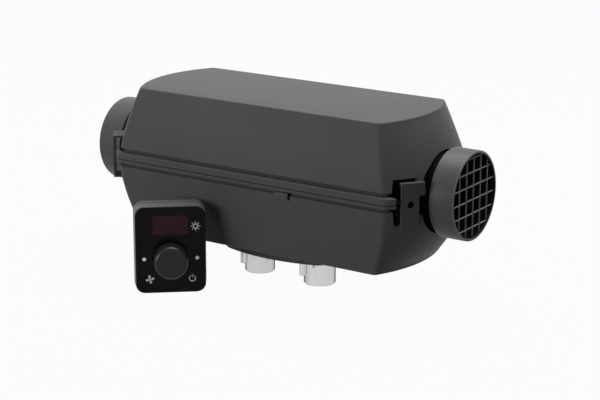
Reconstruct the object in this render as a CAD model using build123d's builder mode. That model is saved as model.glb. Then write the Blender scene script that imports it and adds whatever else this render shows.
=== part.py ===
from build123d import *
import math
import os

# Diesel air heater with its control panel, in millimetres, +Z up. The origin is the centre of
# the mounting face, the underside of the base gasket. +X points to the air inlet, -Y to the
# front. Every round piece of the blower train turns on one air axis, parallel to X.

os.makedirs("parts", exist_ok=True)

# ---- clearances ---------------------------------------------------------------------------
FIT_GAP = 0.1            # between pieces that seat in each other
RUNNING_GAP = 0.03       # radial, shaft to its bearings
SEAT_GAP = 0.15          # ring flange in its groove

# ---- levels -------------------------------------------------------------------------------
AXIS_HEIGHT = 76.0       # air axis above the mounting face
BELLY_HEIGHT = 12.0      # underside of the lower shell
PIPE_DROP = 24.7         # pipe ends below the mounting face
STUD_DROP = 11.5         # stud ends below the mounting face
FUEL_PIPE_DROP = 13.0

# ---- blower train, from the heat exchanger's face towards the inlet -------------------------
EXCHANGER_FACE_X = 20.0
BURNER_GASKET_THICKNESS = 1.2
HEAD_LENGTH = 14.8       # burner head between gasket and blower cover
COVER_THICKNESS = 2.0
BLOWER_DEPTH = 14.0
MOTOR_LENGTH = 42.0
FAN_GAP = 5.0
FAN_LENGTH = 24.0
RING_SEAT_GAP = 7.0      # fan to the wall that holds the inlet ring

GASKET_END_X = EXCHANGER_FACE_X + BURNER_GASKET_THICKNESS
HEAD_END_X = GASKET_END_X + HEAD_LENGTH
COVER_END_X = HEAD_END_X + COVER_THICKNESS
BLOWER_END_X = COVER_END_X + BLOWER_DEPTH
MOTOR_END_X = BLOWER_END_X + MOTOR_LENGTH
FAN_START_X = MOTOR_END_X + FAN_GAP
FAN_END_X = FAN_START_X + FAN_LENGTH
SEAT_START_X = FAN_END_X + RING_SEAT_GAP

# ---- duct rings ---------------------------------------------------------------------------
RING_RADIUS = 37.5       # 75 mm warm-air duct slides over it
RING_WALL = 2.5
RING_FLANGE_RADIUS = 44.0
RING_NECK_RADIUS = 36.5  # between the flange and the duct's seat
RING_NECK_REACH = 26.5   # flange face to where the ring widens
RING_FLANGE_THICKNESS = 3.0
INLET_REACH = 48.2       # flange face to rim
OUTLET_REACH = 50.5
RIM_CHAMFER = 0.8
SEAT_WALL = 2.5          # each side of the groove that holds the flange
RING_OPENING_RADIUS = 41.5

SEAT_END_X = SEAT_START_X + 2 * SEAT_WALL + RING_FLANGE_THICKNESS + 2 * SEAT_GAP
FLANGE_START_X = SEAT_START_X + SEAT_WALL + SEAT_GAP
INLET_RIM_X = FLANGE_START_X + INLET_REACH
REACH_X = FLANGE_START_X + max(INLET_REACH, OUTLET_REACH)

GRILLE_THICKNESS = 1.4
GRILLE_INSET = 1.5       # behind the rim
GRILLE_PITCH = 11.6
GRILLE_BAR = 0.9
GRILLE_DROP = 3.0        # middle of the mesh below the air axis

# ---- shells -------------------------------------------------------------------------------
WALL = 2.4
CORNER_SETBACK = 3.4     # seam corner inboard of the ring seat's outer face
SEAM_HALF_WIDTH = 66.5
SEAM_BOW = 32.0
SIDE_BULGE = 2.5         # middle of a wall beyond the straight line from seam to edge
ROOF_END_BULGE = 0.9
BELLY_END_BULGE = 3.0
ROOF_RISE = 63.3
ROOF_END_SLOPE = 14.0
ROOF_SIDE_SLOPE = 12.5
ROOF_BOW = 15.7
BELLY_END_SLOPE = 14.7
BELLY_SIDE_SLOPE = 11.2
BELLY_BOW = 13.0
CORNER_RADIUS = 6.0
ROOF_EDGE = 1.2          # bevels at the roof's and belly's edges
BELLY_EDGE = 1.5
BAND_PROUD = 1.3
UPPER_BAND = 9.5
LOWER_BAND = 5.0
SEAM_CHAMFER = 0.5

SEAM_HALF_LENGTH = SEAT_END_X - CORNER_SETBACK
BELLY_DROP = AXIS_HEIGHT - BELLY_HEIGHT

# ---- seam clips and snap tab --------------------------------------------------------------
CLIP_PROUD = 2.3         # clip face beyond the shells' walls
CLIP_WRAP = 1.2          # clip over the band's upper and lower edge
CLIP_TOP = 19.0          # above the seam
CLIP_BOTTOM = 20.0       # below the seam
CLIP_SETBACK = 8.5       # clip's outer edge inboard of the seam's side
CLIP_WIDTH = 12.0
CLIP_EAR_GAP = 0.7       # the upper part stops this far from the ring's opening
CLIP_EAR_DROP = 5.5      # ear's lower edge above the seam
CLIP_BOSS_RADIUS = 4.5
CLIP_SCREW_SETBACK = 15.0
CLIP_CORNER_RADIUS = 0.8
SLOT_GAP = 0.8           # clip to the slot beside it
SLOT_WIDTH = 4.6
SLOT_TOP = 17.5
SLOT_BOTTOM = 17.0
SCREW_RADIUS = 1.6
SCREW_HEAD_RADIUS = 3.0
SCREW_HEAD_HEIGHT = 1.8
TAB_X = 36.2
TAB_LENGTH = 12.9
TAB_HEIGHT = 5.5
TAB_PROUD = 1.2

CLIP_OUTER_Y = SEAM_HALF_WIDTH - CLIP_SETBACK
CLIP_INNER_Y = CLIP_OUTER_Y - CLIP_WIDTH
CLIP_SCREW_Y = SEAM_HALF_WIDTH - CLIP_SCREW_SETBACK
SEAM_END_RADIUS = (SEAM_HALF_WIDTH ** 2 + SEAM_BOW ** 2) / (2 * SEAM_BOW)
CLIP_SCREW_EDGE = CLIP_SCREW_Y + SCREW_HEAD_RADIUS
CLIP_SEAT_X = (SEAM_HALF_LENGTH + SEAM_BOW - SEAM_END_RADIUS - SCREW_HEAD_HEIGHT
               + math.sqrt(SEAM_END_RADIUS ** 2 - CLIP_SCREW_EDGE ** 2))

# ---- base: gasket, foot, studs and pipes --------------------------------------------------
GASKET_THICKNESS = 5.0
GASKET_EDGE_CHAMFER = 1.2
PAD_HALF_LENGTH = 50.0
PAD_HALF_WIDTH = 27.5
PAD_END_BOW = 6.0
PAD_SIDE_BOW = 9.0
PAD_CORNER_RADIUS = 10.0
SKIRT_WALL = 1.8
SKIRT_GAP = 0.2
COLLAR = 0.4             # pipes and studs are this much thicker from under the gasket upwards
COLLAR_DROP = 0.5        # collar's lower end below the mounting face
FOOT_THICKNESS = 11.0
PEDESTAL_HALF_LENGTH = 29.0
PEDESTAL_CENTRE_X = -20.0
PEDESTAL_HALF_WIDTH = 19.0
PEDESTAL_CORNER_RADIUS = 8.0
STUD_RADIUS = 3.0
STUD_COVER = 2.0         # metal left above the stud in the foot
STUD_CHAMFER = 0.6
STUD_SPACING_X = 62.0
STUD_SPACING_Y = 52.0
EXHAUST_X = -32.0
EXHAUST_RADIUS = 13.3
INTAKE_X = 31.3
INTAKE_RADIUS = 13.9
PIPE_WALL = 1.4
PIPE_SEAT = 7.0          # pipe depth inside the foot
FUEL_PIPE_X = 16.0
FUEL_PIPE_Y = 24.0
FUEL_PIPE_RADIUS = 2.5
FUEL_BORE_RADIUS = 1.2
FUEL_PIPE_ENTRY = 3.0

FOOT_TOP = GASKET_THICKNESS + FOOT_THICKNESS

# ---- heat exchanger -----------------------------------------------------------------------
JACKET_RADIUS = 37.0
JACKET_WALL = 4.0
EXCHANGER_TO_SEAT = 12.0  # far end to the wall that holds the outlet ring
DOME_LENGTH = 14.0       # of the bevelled far end, as deep as it is wide
FLANGE_RADIUS = 46.0
FLANGE_THICKNESS = 9.0
FIN_COUNT = 20
FIN_THICKNESS = 2.0
FIN_AIR_GAP = 8.0        # fin tips to the shell
FIN_CORNER_RADIUS = 18.0
FIN_END_SETBACK = 6.0
SENSOR_FLAT_RISE = 4.0   # cast flat for the sensor, above the jacket
SENSOR_X = -10.0
SENSOR_FLAT_HALF = 10.0
SENSOR_RADIUS = 4.5
SENSOR_THICKNESS = 2.2
TERMINAL_OFFSET = 3.5
SENSOR_STRAP_WIDTH = 5.0
SENSOR_STRAP_SETBACK = 0.5
CLIP_STRAP_THICKNESS = 0.6

EXCHANGER_END_X = -SEAT_START_X + EXCHANGER_TO_SEAT
SENSOR_SEAT = AXIS_HEIGHT + JACKET_RADIUS + SENSOR_FLAT_RISE

# ---- burner, blower and motor -------------------------------------------------------------
BURNER_RADIUS = 25.0
BURNER_WALL = 1.6
BURNER_LENGTH = 88.0
AIR_HOLE_RADIUS = 1.5
AIR_HOLE_ROWS = 2
AIR_HOLE_COUNT = 4
HEAD_RADIUS = 33.0
HEAD_BORE_RADIUS = 18.0
HEAD_FLANGE_THICKNESS = 2.5
GLOW_BORE_RADIUS = 4.6
GLOW_PLUG_RADIUS = 4.0
GLOW_HEX_RADIUS = 5.0
GLOW_HEX_HEIGHT = 4.0
GLOW_SCREEN_SETBACK = 2.0
BLOWER_RADIUS = 46.0
BLOWER_CAVITY_RADIUS = 35.0
BLOWER_CAVITY_DEPTH = 11.0
COVER_RADIUS = 37.5
COVER_EYE_RADIUS = 13.0
BOLT_CIRCLE_RADIUS = 41.7
BOLT_RADIUS = 2.0
BOLT_HEAD_RADIUS = 3.5
BOLT_HEAD_HEIGHT = 4.0
BOLT_GRIP = 7.0          # thread length in the exchanger's flange
NECK_HALF_WIDTH = 15.0
NECK_START_X = 24.6
NECK_END_X = 47.0
NECK_WALL = 2.5
MOTOR_RADIUS = 25.0
CAN_WALL = 1.2
MOTOR_SLEEVE_WALL = 3.0
MOTOR_SLEEVE_LENGTH = 12.0
END_CAP_THICKNESS = 2.0
SHAFT_RADIUS = 2.5
BEARING_RADIUS = 7.0
BEARING_WIDTH = 5.0
BEARING_SLEEVE_WALL = 1.5
MAGNET_THICKNESS = 3.2
ARMATURE_GAP = 0.8
ARMATURE_SLOTS = 5
ARMATURE_SLOT_WIDTH = 3.0
MAGNET_LENGTH = 24.0
IMPELLER_RADIUS = 31.0
IMPELLER_BLADES = 12
IMPELLER_BLADE_THICKNESS = 1.2
IMPELLER_BLADE_LEAN = 30.0
IMPELLER_PLATE = 1.5
IMPELLER_GAP = 1.2       # each side, in the blower's cavity
FAN_RADIUS = 43.0
FAN_HUB_RADIUS = 20.0
FAN_HUB_WALL = 2.0
FAN_BLADES = 7
FAN_NOSE_RADIUS = 7.0
FAN_BOSS_RADIUS = 6.0
FAN_BLADE_ROOT = 24.0    # blade's width at the hub and at its tip
FAN_BLADE_TIP = 30.0
FAN_BLADE_ANGLE = 36.0
FAN_BLADE_THICKNESS = 1.6
FAN_MAGNET_WALL = 3.0

FUEL_ENTRY_X = (GASKET_END_X + HEAD_FLANGE_THICKNESS + HEAD_END_X) / 2
FUEL_ENTRY_TOP = (AXIS_HEIGHT - math.sqrt(HEAD_RADIUS ** 2 - FUEL_PIPE_Y ** 2)
                  + FUEL_PIPE_ENTRY)

# ---- control unit -------------------------------------------------------------------------
UNIT_GAP = 1.0           # to the motor sleeve and to the fan side
UNIT_HALF_WIDTH = 30.0
UNIT_BOTTOM = 12.0       # above the air axis
UNIT_TOP = 46.0
UNIT_WALL = 2.0
UNIT_CORNER_RADIUS = 4.0
UNIT_EDGE_RADIUS = 2.0
UNIT_CHIP = 10.0
BOARD_THICKNESS = 1.6

# ---- harness grommet ----------------------------------------------------------------------
GROMMET_X = 92.0
GROMMET_RADIUS = 9.0
GROMMET_LIP = 2.0
GROMMET_BORE_RADIUS = 4.0

# ---- control panel, standing beside the heater --------------------------------------------
PANEL_X = -56.0
PANEL_GAP = 1.66         # nearest point of the panel to the heater's side
PANEL_TURN = 40.0        # degrees, front face turned from -Y towards +X
PANEL_WIDTH = 59.5
PANEL_HEIGHT = 76.0
PANEL_DEPTH = 17.0
PANEL_CORNER_RADIUS = 7.5
PANEL_EDGE_CHAMFER = 1.0
PANEL_TAPER = 1.1        # back outline beyond the front outline, each side
PANEL_FOOT = -PIPE_DROP  # the panel stands on the same floor as the heater
PANEL_WALL = 2.0
PANEL_BACK_DEPTH = 5.0
FACE_MARGIN = 3.0
FACE_THICKNESS = 1.6
FACE_INSET = 0.3
LEDGE_WIDTH = 1.5
KNOB_LEVEL = 30.2        # knob and lamps above the panel's bottom
KNOB_RADIUS = 14.5
KNOB_REACH = 16.0        # in front of the face
KNOB_WALL = 1.6
KNOB_TRAVEL = 0.6
KNOB_EDGE_CHAMFER = 1.0
KNOB_DISH = 0.5
DISH_RADIUS = 15.8       # shallow recess round the knob
DISH_DEPTH = 0.9
LAMP_OFFSET = 22.5
LAMP_RADIUS = 1.6
DISPLAY_TO_TOP = 16.5    # middle of the display below the panel's top
DISPLAY_WIDTH = 30.0
DISPLAY_HEIGHT = 17.0
DISPLAY_MARGIN = 1.0     # module beyond the window, each side
PANEL_BOARD_DEPTH = 9.0  # board's front behind the panel's front
ENCODER_SIZE = 12.0
STEM_RADIUS = 3.0
BUSHING_RADIUS = 4.5
PLUNGER_RADIUS = 2.0
PLUNGER_REACH = 3.0
SOCKET_WIDTH = 14.0
SOCKET_HEIGHT = 7.0
SOCKET_LEVEL = 14.0
SOCKET_DEPTH = 5.0
SOCKET_WALL = 1.2

DISPLAY_LEVEL = PANEL_HEIGHT - DISPLAY_TO_TOP


def panel_middle_y():
    """Y of the panel's front that leaves the gap between its rear corner and the belly."""
    turn = math.radians(PANEL_TURN)
    corner_reach = ((PANEL_WIDTH / 2 + PANEL_TAPER) * math.sin(turn)
                    + PANEL_DEPTH * math.cos(turn))
    corner_level = PANEL_FOOT + PANEL_TAPER + PANEL_HEIGHT - PANEL_CORNER_RADIUS
    below_seam = min(max(2 * (AXIS_HEIGHT - corner_level) / BELLY_DROP, 0), 1)
    bulge = (SIDE_BULGE - BELLY_SIDE_SLOPE / 2) * below_seam
    return -(SEAM_HALF_WIDTH + bulge + PANEL_GAP + corner_reach)


PANEL_Y = panel_middle_y()
AIR_AXIS = Axis((0, 0, AXIS_HEIGHT), (1, 0, 0))


def across(x):
    """Plane square to the air axis at x: local x is +Y, local y is +Z."""
    return Plane(origin=(x, 0, AXIS_HEIGHT), x_dir=(0, 1, 0), z_dir=(1, 0, 0))


def panel_plane(depth):
    """Plane parallel to the panel's front, depth behind it; level 0 is the front's lower edge."""
    turn = math.radians(PANEL_TURN)
    front = Vector(math.sin(turn), -math.cos(turn), 0)
    origin = Vector(PANEL_X, PANEL_Y, PANEL_FOOT + PANEL_TAPER) - front * depth
    return Plane(origin=origin, x_dir=(math.cos(turn), math.sin(turn), 0), z_dir=front)


def save(part, name):
    """Label the piece and write it to its own file."""
    part.label = name
    export_step(part, f"parts/{name}.step")


def tube(start_x, end_x, radius, bore=0.0, mode=Mode.ADD):
    """Round disc or tube on the air axis, in the piece being built."""
    with BuildSketch(across(start_x)) as ring:
        Circle(radius)
        if bore > 0:
            Circle(bore, mode=Mode.SUBTRACT)
    extrude(ring.sketch, amount=end_x - start_x, mode=mode)


def turned(profile_points, mode=Mode.ADD):
    """Solid of revolution about the air axis from (x, radius) points."""
    with BuildSketch(Plane.XZ) as profile:
        with BuildLine():
            Polyline([(x, AXIS_HEIGHT + radius) for x, radius in profile_points], close=True)
        make_face()
    revolve(profile.sketch, axis=AIR_AXIS, mode=mode)


def upright(x, y, bottom, top, radius, bore=0.0, mode=Mode.ADD):
    """Vertical rod or tube, in the piece being built."""
    with BuildSketch(Plane.XY.offset(bottom)) as ring:
        with Locations((x, y)):
            Circle(radius)
            if bore > 0:
                Circle(bore, mode=Mode.SUBTRACT)
    extrude(ring.sketch, amount=top - bottom, mode=mode)


def bowed_outline(level, half_length, half_width, end_bow, corner_radius, side_bow=0.0):
    """Plan outline at a level: bowed ends, straight or bowed sides and rounded corners."""
    with BuildSketch(Plane.XY.offset(level)) as outline:
        with BuildLine():
            for side in (1, -1):
                start = (-side * half_length, -side * half_width)
                corner = (side * half_length, -side * half_width)
                end = (side * half_length, side * half_width)
                if side_bow > 0:
                    ThreePointArc(start, (0, -side * (half_width + side_bow)), corner)
                else:
                    Line(start, corner)
                ThreePointArc(corner, (side * (half_length + end_bow), 0), end)
        make_face()
        fillet(outline.vertices(), corner_radius)
    return outline.sketch


def seam_outline(inset):
    return bowed_outline(AXIS_HEIGHT, SEAM_HALF_LENGTH - inset, SEAM_HALF_WIDTH - inset,
                         SEAM_BOW, max(CORNER_RADIUS - inset, 1.0))


def pad_outline(level, inset=0.0):
    return bowed_outline(level, PAD_HALF_LENGTH - inset, PAD_HALF_WIDTH - inset,
                         PAD_END_BOW, PAD_CORNER_RADIUS - inset, PAD_SIDE_BOW)


def shell_form(rise, end_slope, side_slope, end_bow, bulge, edge, inset):
    """Form of one shell from the seam to its far side at rise, every face moved in by inset."""
    up = math.copysign(1, rise)
    half_length = SEAM_HALF_LENGTH - end_slope - inset
    half_width = SEAM_HALF_WIDTH - side_slope - inset
    radius = max(CORNER_RADIUS - inset, 1.0)
    level = AXIS_HEIGHT + rise - up * inset
    middle = bowed_outline(AXIS_HEIGHT + (rise - up * inset) / 2,
                           half_length + end_slope / 2 + bulge,
                           half_width + side_slope / 2 + SIDE_BULGE,
                           (SEAM_BOW + end_bow) / 2 + bulge, radius)
    edge_start = bowed_outline(level - up * edge, half_length, half_width, end_bow, radius)
    far = bowed_outline(level, half_length - edge, half_width - edge, end_bow, radius)
    sections = [seam_outline(inset), middle, edge_start, far]
    with BuildPart() as form:
        loft(sections=sections[::int(up)], ruled=True)
    return form.part


def roof_form(inset=0.0):
    return shell_form(ROOF_RISE, ROOF_END_SLOPE, ROOF_SIDE_SLOPE, ROOF_BOW, ROOF_END_BULGE,
                      ROOF_EDGE, inset)


def belly_form(inset=0.0):
    return shell_form(-BELLY_DROP, BELLY_END_SLOPE, BELLY_SIDE_SLOPE, BELLY_BOW,
                      BELLY_END_BULGE, BELLY_EDGE, inset)


def shell_cavity(form):
    """The hollow of a shell, with the walls that hold the two duct rings left standing."""
    reach = SEAM_HALF_WIDTH * 2
    with BuildPart() as cavity:
        add(form)
        for side in (1, -1):
            with BuildSketch(across(side * SEAT_START_X)) as wall:
                Rectangle(2 * reach, 2 * reach)
            extrude(wall.sketch, amount=side * (SEAT_END_X - SEAT_START_X), mode=Mode.SUBTRACT)
            tube(side * SEAT_START_X, side * SEAT_END_X, RING_NECK_RADIUS + SEAT_GAP)
            tube(side * (SEAT_START_X + SEAT_WALL), side * (SEAT_END_X - SEAT_WALL),
                 RING_FLANGE_RADIUS + SEAT_GAP)
    return cavity.part


def end_holes(start_x, radius):
    """Round holes at the four clip screws, from start_x out through both end walls."""
    for side in (1, -1):
        with BuildSketch(across(side * start_x)) as holes:
            with GridLocations(2 * CLIP_SCREW_Y, 0, 2, 1):
                Circle(radius)
        extrude(holes.sketch, amount=side * (REACH_X - start_x), mode=Mode.SUBTRACT)


def end_openings():
    """Cut the mouths round both duct rings, the slots beside the clips and their screw holes."""
    slot_y = CLIP_OUTER_Y + SLOT_GAP + SLOT_WIDTH / 2
    slot_start = SEAT_START_X + SEAT_WALL
    for side in (1, -1):
        tube(side * SEAT_END_X, side * REACH_X, RING_OPENING_RADIUS, mode=Mode.SUBTRACT)
        with BuildSketch(across(side * slot_start)) as slots:
            with Locations((0, (SLOT_TOP - SLOT_BOTTOM) / 2)):
                with GridLocations(2 * slot_y, 0, 2, 1):
                    Rectangle(SLOT_WIDTH, SLOT_TOP + SLOT_BOTTOM)
        extrude(slots.sketch, amount=side * (REACH_X - slot_start), mode=Mode.SUBTRACT)
    end_holes(slot_start, SCREW_RADIUS + FIT_GAP / 2)
    end_holes(SEAT_END_X, CLIP_BOSS_RADIUS + FIT_GAP)


def band_outline(proud):
    return bowed_outline(AXIS_HEIGHT, SEAM_HALF_LENGTH + proud, SEAM_HALF_WIDTH + proud,
                         SEAM_BOW, CORNER_RADIUS)


def seam_band(height):
    """Raised band along the seam, up or down from it, with its edges eased."""
    with BuildPart() as band:
        extrude(band_outline(BAND_PROUD), amount=height)
        chamfer(band.edges(), SEAM_CHAMFER)
    return band.part


def upper_shell():
    with BuildPart() as shell:
        add(roof_form())
        add(seam_band(UPPER_BAND))
        add(shell_cavity(roof_form(WALL)), mode=Mode.SUBTRACT)
        end_openings()
    save(shell.part, "upper_shell")


def lower_shell():
    with BuildPart() as shell:
        add(belly_form())
        add(seam_band(-LOWER_BAND))
        extrude(pad_outline(GASKET_THICKNESS), amount=BELLY_HEIGHT + WALL - GASKET_THICKNESS)
        with BuildSketch(Plane.XY.offset(AXIS_HEIGHT - LOWER_BAND)) as tabs:
            for side in (1, -1):
                with Locations((TAB_X, side * (SEAM_HALF_WIDTH + BAND_PROUD - TAB_PROUD / 2))):
                    Rectangle(TAB_LENGTH, TAB_PROUD)
        extrude(tabs.sketch, amount=-TAB_HEIGHT)
        add(shell_cavity(belly_form(WALL)), mode=Mode.SUBTRACT)
        extrude(pad_outline(GASKET_THICKNESS, SKIRT_WALL), amount=AXIS_HEIGHT / 2,
                mode=Mode.SUBTRACT)
        upright(GROMMET_X, 0, 0, AXIS_HEIGHT / 2, GROMMET_RADIUS, mode=Mode.SUBTRACT)
        end_openings()
    save(shell.part, "lower_shell")


def duct_ring(side, reach, name):
    """Ring that a duct slides over, on a narrower neck whose flange sits between the shells."""
    bore = RING_RADIUS - RING_WALL
    profile = [(0, bore), (0, RING_FLANGE_RADIUS), (RING_FLANGE_THICKNESS, RING_FLANGE_RADIUS),
               (RING_FLANGE_THICKNESS, RING_NECK_RADIUS), (RING_NECK_REACH, RING_NECK_RADIUS),
               (RING_NECK_REACH, RING_RADIUS), (reach - RIM_CHAMFER, RING_RADIUS),
               (reach, RING_RADIUS - RIM_CHAMFER), (reach, bore)]
    with BuildPart() as ring:
        turned([(side * (FLANGE_START_X + x), radius) for x, radius in profile])
    save(ring.part, name)


def inlet_grille():
    """Square mesh of thin bars whose ends rest in the inlet ring."""
    radius = RING_RADIUS - RING_WALL - FIT_GAP
    bars = 2 * math.floor((radius + GRILLE_DROP) / GRILLE_PITCH) + 1
    with BuildPart() as grille:
        with BuildSketch(across(INLET_RIM_X - GRILLE_INSET)) as mesh:
            with GridLocations(GRILLE_PITCH, 0, bars, 1):
                Rectangle(GRILLE_BAR, 2 * radius)
            with Locations((0, -GRILLE_DROP)):
                with GridLocations(0, GRILLE_PITCH, 1, bars):
                    Rectangle(2 * radius, GRILLE_BAR)
            Circle(radius, mode=Mode.INTERSECT)
        extrude(mesh.sketch, amount=-GRILLE_THICKNESS)
    save(grille.part, "inlet_grille")


def clip_keep_off():
    """All that a clip lies on: both shells, with the holes that its bosses stand in."""
    with BuildPart() as keep_off:
        add(roof_form(-FIT_GAP))
        add(belly_form(-FIT_GAP))
        add(seam_band(UPPER_BAND))
        add(seam_band(-LOWER_BAND))
        end_holes(SEAT_END_X, CLIP_BOSS_RADIUS)
    return keep_off.part


def seam_clips():
    """Four L-shaped plates that lie over the seam beside the rings, each with a screw boss."""
    start = SEAT_END_X + FIT_GAP
    ear_y = RING_OPENING_RADIUS + CLIP_EAR_GAP
    with BuildPart() as clip:
        add(roof_form(-CLIP_PROUD))
        add(belly_form(-CLIP_PROUD))
        extrude(band_outline(CLIP_PROUD), amount=UPPER_BAND + CLIP_WRAP)
        extrude(band_outline(CLIP_PROUD), amount=-LOWER_BAND - CLIP_WRAP)
        with BuildSketch(across(start)) as plate:
            with BuildLine():
                Polyline((-CLIP_OUTER_Y, -CLIP_BOTTOM), (-CLIP_INNER_Y, -CLIP_BOTTOM),
                         (-CLIP_INNER_Y, CLIP_EAR_DROP), (-ear_y, CLIP_EAR_DROP),
                         (-ear_y, CLIP_TOP), (-CLIP_OUTER_Y, CLIP_TOP), close=True)
            make_face()
            fillet(plate.vertices(), CLIP_CORNER_RADIUS)
        extrude(plate.sketch, amount=REACH_X - start, mode=Mode.INTERSECT)
        add(clip_keep_off(), mode=Mode.SUBTRACT)
        end_holes(start, SCREW_RADIUS + FIT_GAP)
        end_holes(CLIP_SEAT_X, SCREW_HEAD_RADIUS + FIT_GAP)
    rear = clip.part.mirror(Plane.XZ)
    places = {"front_inlet": clip.part, "rear_inlet": rear,
              "front_outlet": clip.part.mirror(Plane.YZ), "rear_outlet": rear.mirror(Plane.YZ)}
    for place, part in places.items():
        save(part, f"seam_clip_{place}")


def clip_screws():
    """One sunk screw for each seam clip, into the wall that holds the ring."""
    length = CLIP_SEAT_X - SEAT_START_X - SEAT_WALL - FIT_GAP
    with BuildPart() as screws:
        for side in (1, -1):
            with BuildSketch(across(side * CLIP_SEAT_X)) as heads:
                with GridLocations(2 * CLIP_SCREW_Y, 0, 2, 1):
                    Circle(SCREW_HEAD_RADIUS)
                    RegularPolygon(SCREW_RADIUS, 6, mode=Mode.SUBTRACT)
            extrude(heads.sketch, amount=side * SCREW_HEAD_HEIGHT * 0.8)
            with BuildSketch(across(side * CLIP_SEAT_X)) as shanks:
                with GridLocations(2 * CLIP_SCREW_Y, 0, 2, 1):
                    Circle(SCREW_RADIUS)
            extrude(shanks.sketch, amount=-side * length)
    save(screws.part, "clip_screws")


def base_gasket():
    with BuildPart() as gasket:
        extrude(pad_outline(0), amount=GASKET_THICKNESS)
        lower_rim = gasket.faces().sort_by(Axis.Z)[0].edges()
        chamfer(lower_rim, GASKET_EDGE_CHAMFER)
        hole_gap = COLLAR + SKIRT_GAP
        with BuildSketch() as holes:
            with Locations((EXHAUST_X, 0)):
                Circle(EXHAUST_RADIUS + hole_gap)
            with Locations((INTAKE_X, 0)):
                Circle(INTAKE_RADIUS + hole_gap)
            with Locations((FUEL_PIPE_X, FUEL_PIPE_Y)):
                Circle(FUEL_PIPE_RADIUS + hole_gap)
            with GridLocations(STUD_SPACING_X, STUD_SPACING_Y, 2, 2):
                Circle(STUD_RADIUS + hole_gap)
        extrude(holes.sketch, amount=GASKET_THICKNESS, mode=Mode.SUBTRACT)
    save(gasket.part, "base_gasket")


def stud_rods(bottom, length, radius):
    """Four rods upwards at the studs' places, in the piece being built."""
    with BuildSketch(Plane.XY.offset(bottom)) as rods:
        with GridLocations(STUD_SPACING_X, STUD_SPACING_Y, 2, 2):
            Circle(radius)
    extrude(rods.sketch, amount=length)


def mounting_studs():
    """Four studs with a thicker shank above their nuts, seated in the foot."""
    with BuildPart() as studs:
        stud_rods(-STUD_DROP, STUD_DROP, STUD_RADIUS)
        lower_rims = studs.edges().group_by(Axis.Z)[0]
        chamfer(lower_rims, STUD_CHAMFER)
        stud_rods(-COLLAR_DROP, COLLAR_DROP + FOOT_TOP - STUD_COVER, STUD_RADIUS + COLLAR)
    save(studs.part, "mounting_studs")


def stub_pipe(x, radius, name):
    """Short pipe, with a slightly thicker upper part through the gasket into the foot."""
    with BuildPart() as pipe:
        upright(x, 0, -PIPE_DROP, 0, radius)
        lower_rim = pipe.faces().sort_by(Axis.Z)[0].edges()
        chamfer(lower_rim, PIPE_WALL * 0.4)
        upright(x, 0, -COLLAR_DROP, GASKET_THICKNESS + PIPE_SEAT, radius + COLLAR)
        upright(x, 0, -PIPE_DROP, GASKET_THICKNESS + PIPE_SEAT, radius - PIPE_WALL,
                mode=Mode.SUBTRACT)
    save(pipe.part, name)


def fuel_pipe():
    """Thin steel pipe from under the foot, with a mitred offset, up to the burner head."""
    offset = FUEL_ENTRY_X - FUEL_PIPE_X
    low = FOOT_TOP + FUEL_PIPE_RADIUS
    with BuildPart() as pipe:
        with BuildLine() as path:
            Polyline((FUEL_PIPE_X, FUEL_PIPE_Y, -FUEL_PIPE_DROP), (FUEL_PIPE_X, FUEL_PIPE_Y, low),
                     (FUEL_ENTRY_X, FUEL_PIPE_Y, low + offset),
                     (FUEL_ENTRY_X, FUEL_PIPE_Y, FUEL_ENTRY_TOP))
        with BuildSketch(Plane(origin=(FUEL_PIPE_X, FUEL_PIPE_Y, -FUEL_PIPE_DROP))) as section:
            Circle(FUEL_PIPE_RADIUS)
            Circle(FUEL_BORE_RADIUS, mode=Mode.SUBTRACT)
        sweep(section.sketch, path=path.line, transition=Transition.RIGHT)
        upright(FUEL_PIPE_X, FUEL_PIPE_Y, -COLLAR_DROP, FOOT_TOP, FUEL_PIPE_RADIUS + COLLAR,
                FUEL_PIPE_RADIUS)
    save(pipe.part, "fuel_pipe")


def fin_half_sizes():
    """Half width and half height that the fins may fill inside the shells."""
    narrow = min(SEAM_HALF_WIDTH - ROOF_SIDE_SLOPE, SEAM_HALF_WIDTH - BELLY_SIDE_SLOPE)
    half_width = (SEAM_HALF_WIDTH + narrow) / 2 - WALL - FIN_AIR_GAP
    half_height = min(ROOF_RISE, BELLY_DROP) - WALL - FIN_AIR_GAP
    return half_width, half_height


def domed_form(inset):
    """Jacket of the casting with its bevelled far end, every outer face moved in by inset."""
    end = EXCHANGER_END_X + inset
    radius = JACKET_RADIUS - inset
    with BuildPart() as form:
        turned([(EXCHANGER_FACE_X, 0), (EXCHANGER_FACE_X, radius), (end + DOME_LENGTH, radius),
                (end, radius - DOME_LENGTH), (end, 0)])
    return form.part


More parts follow.
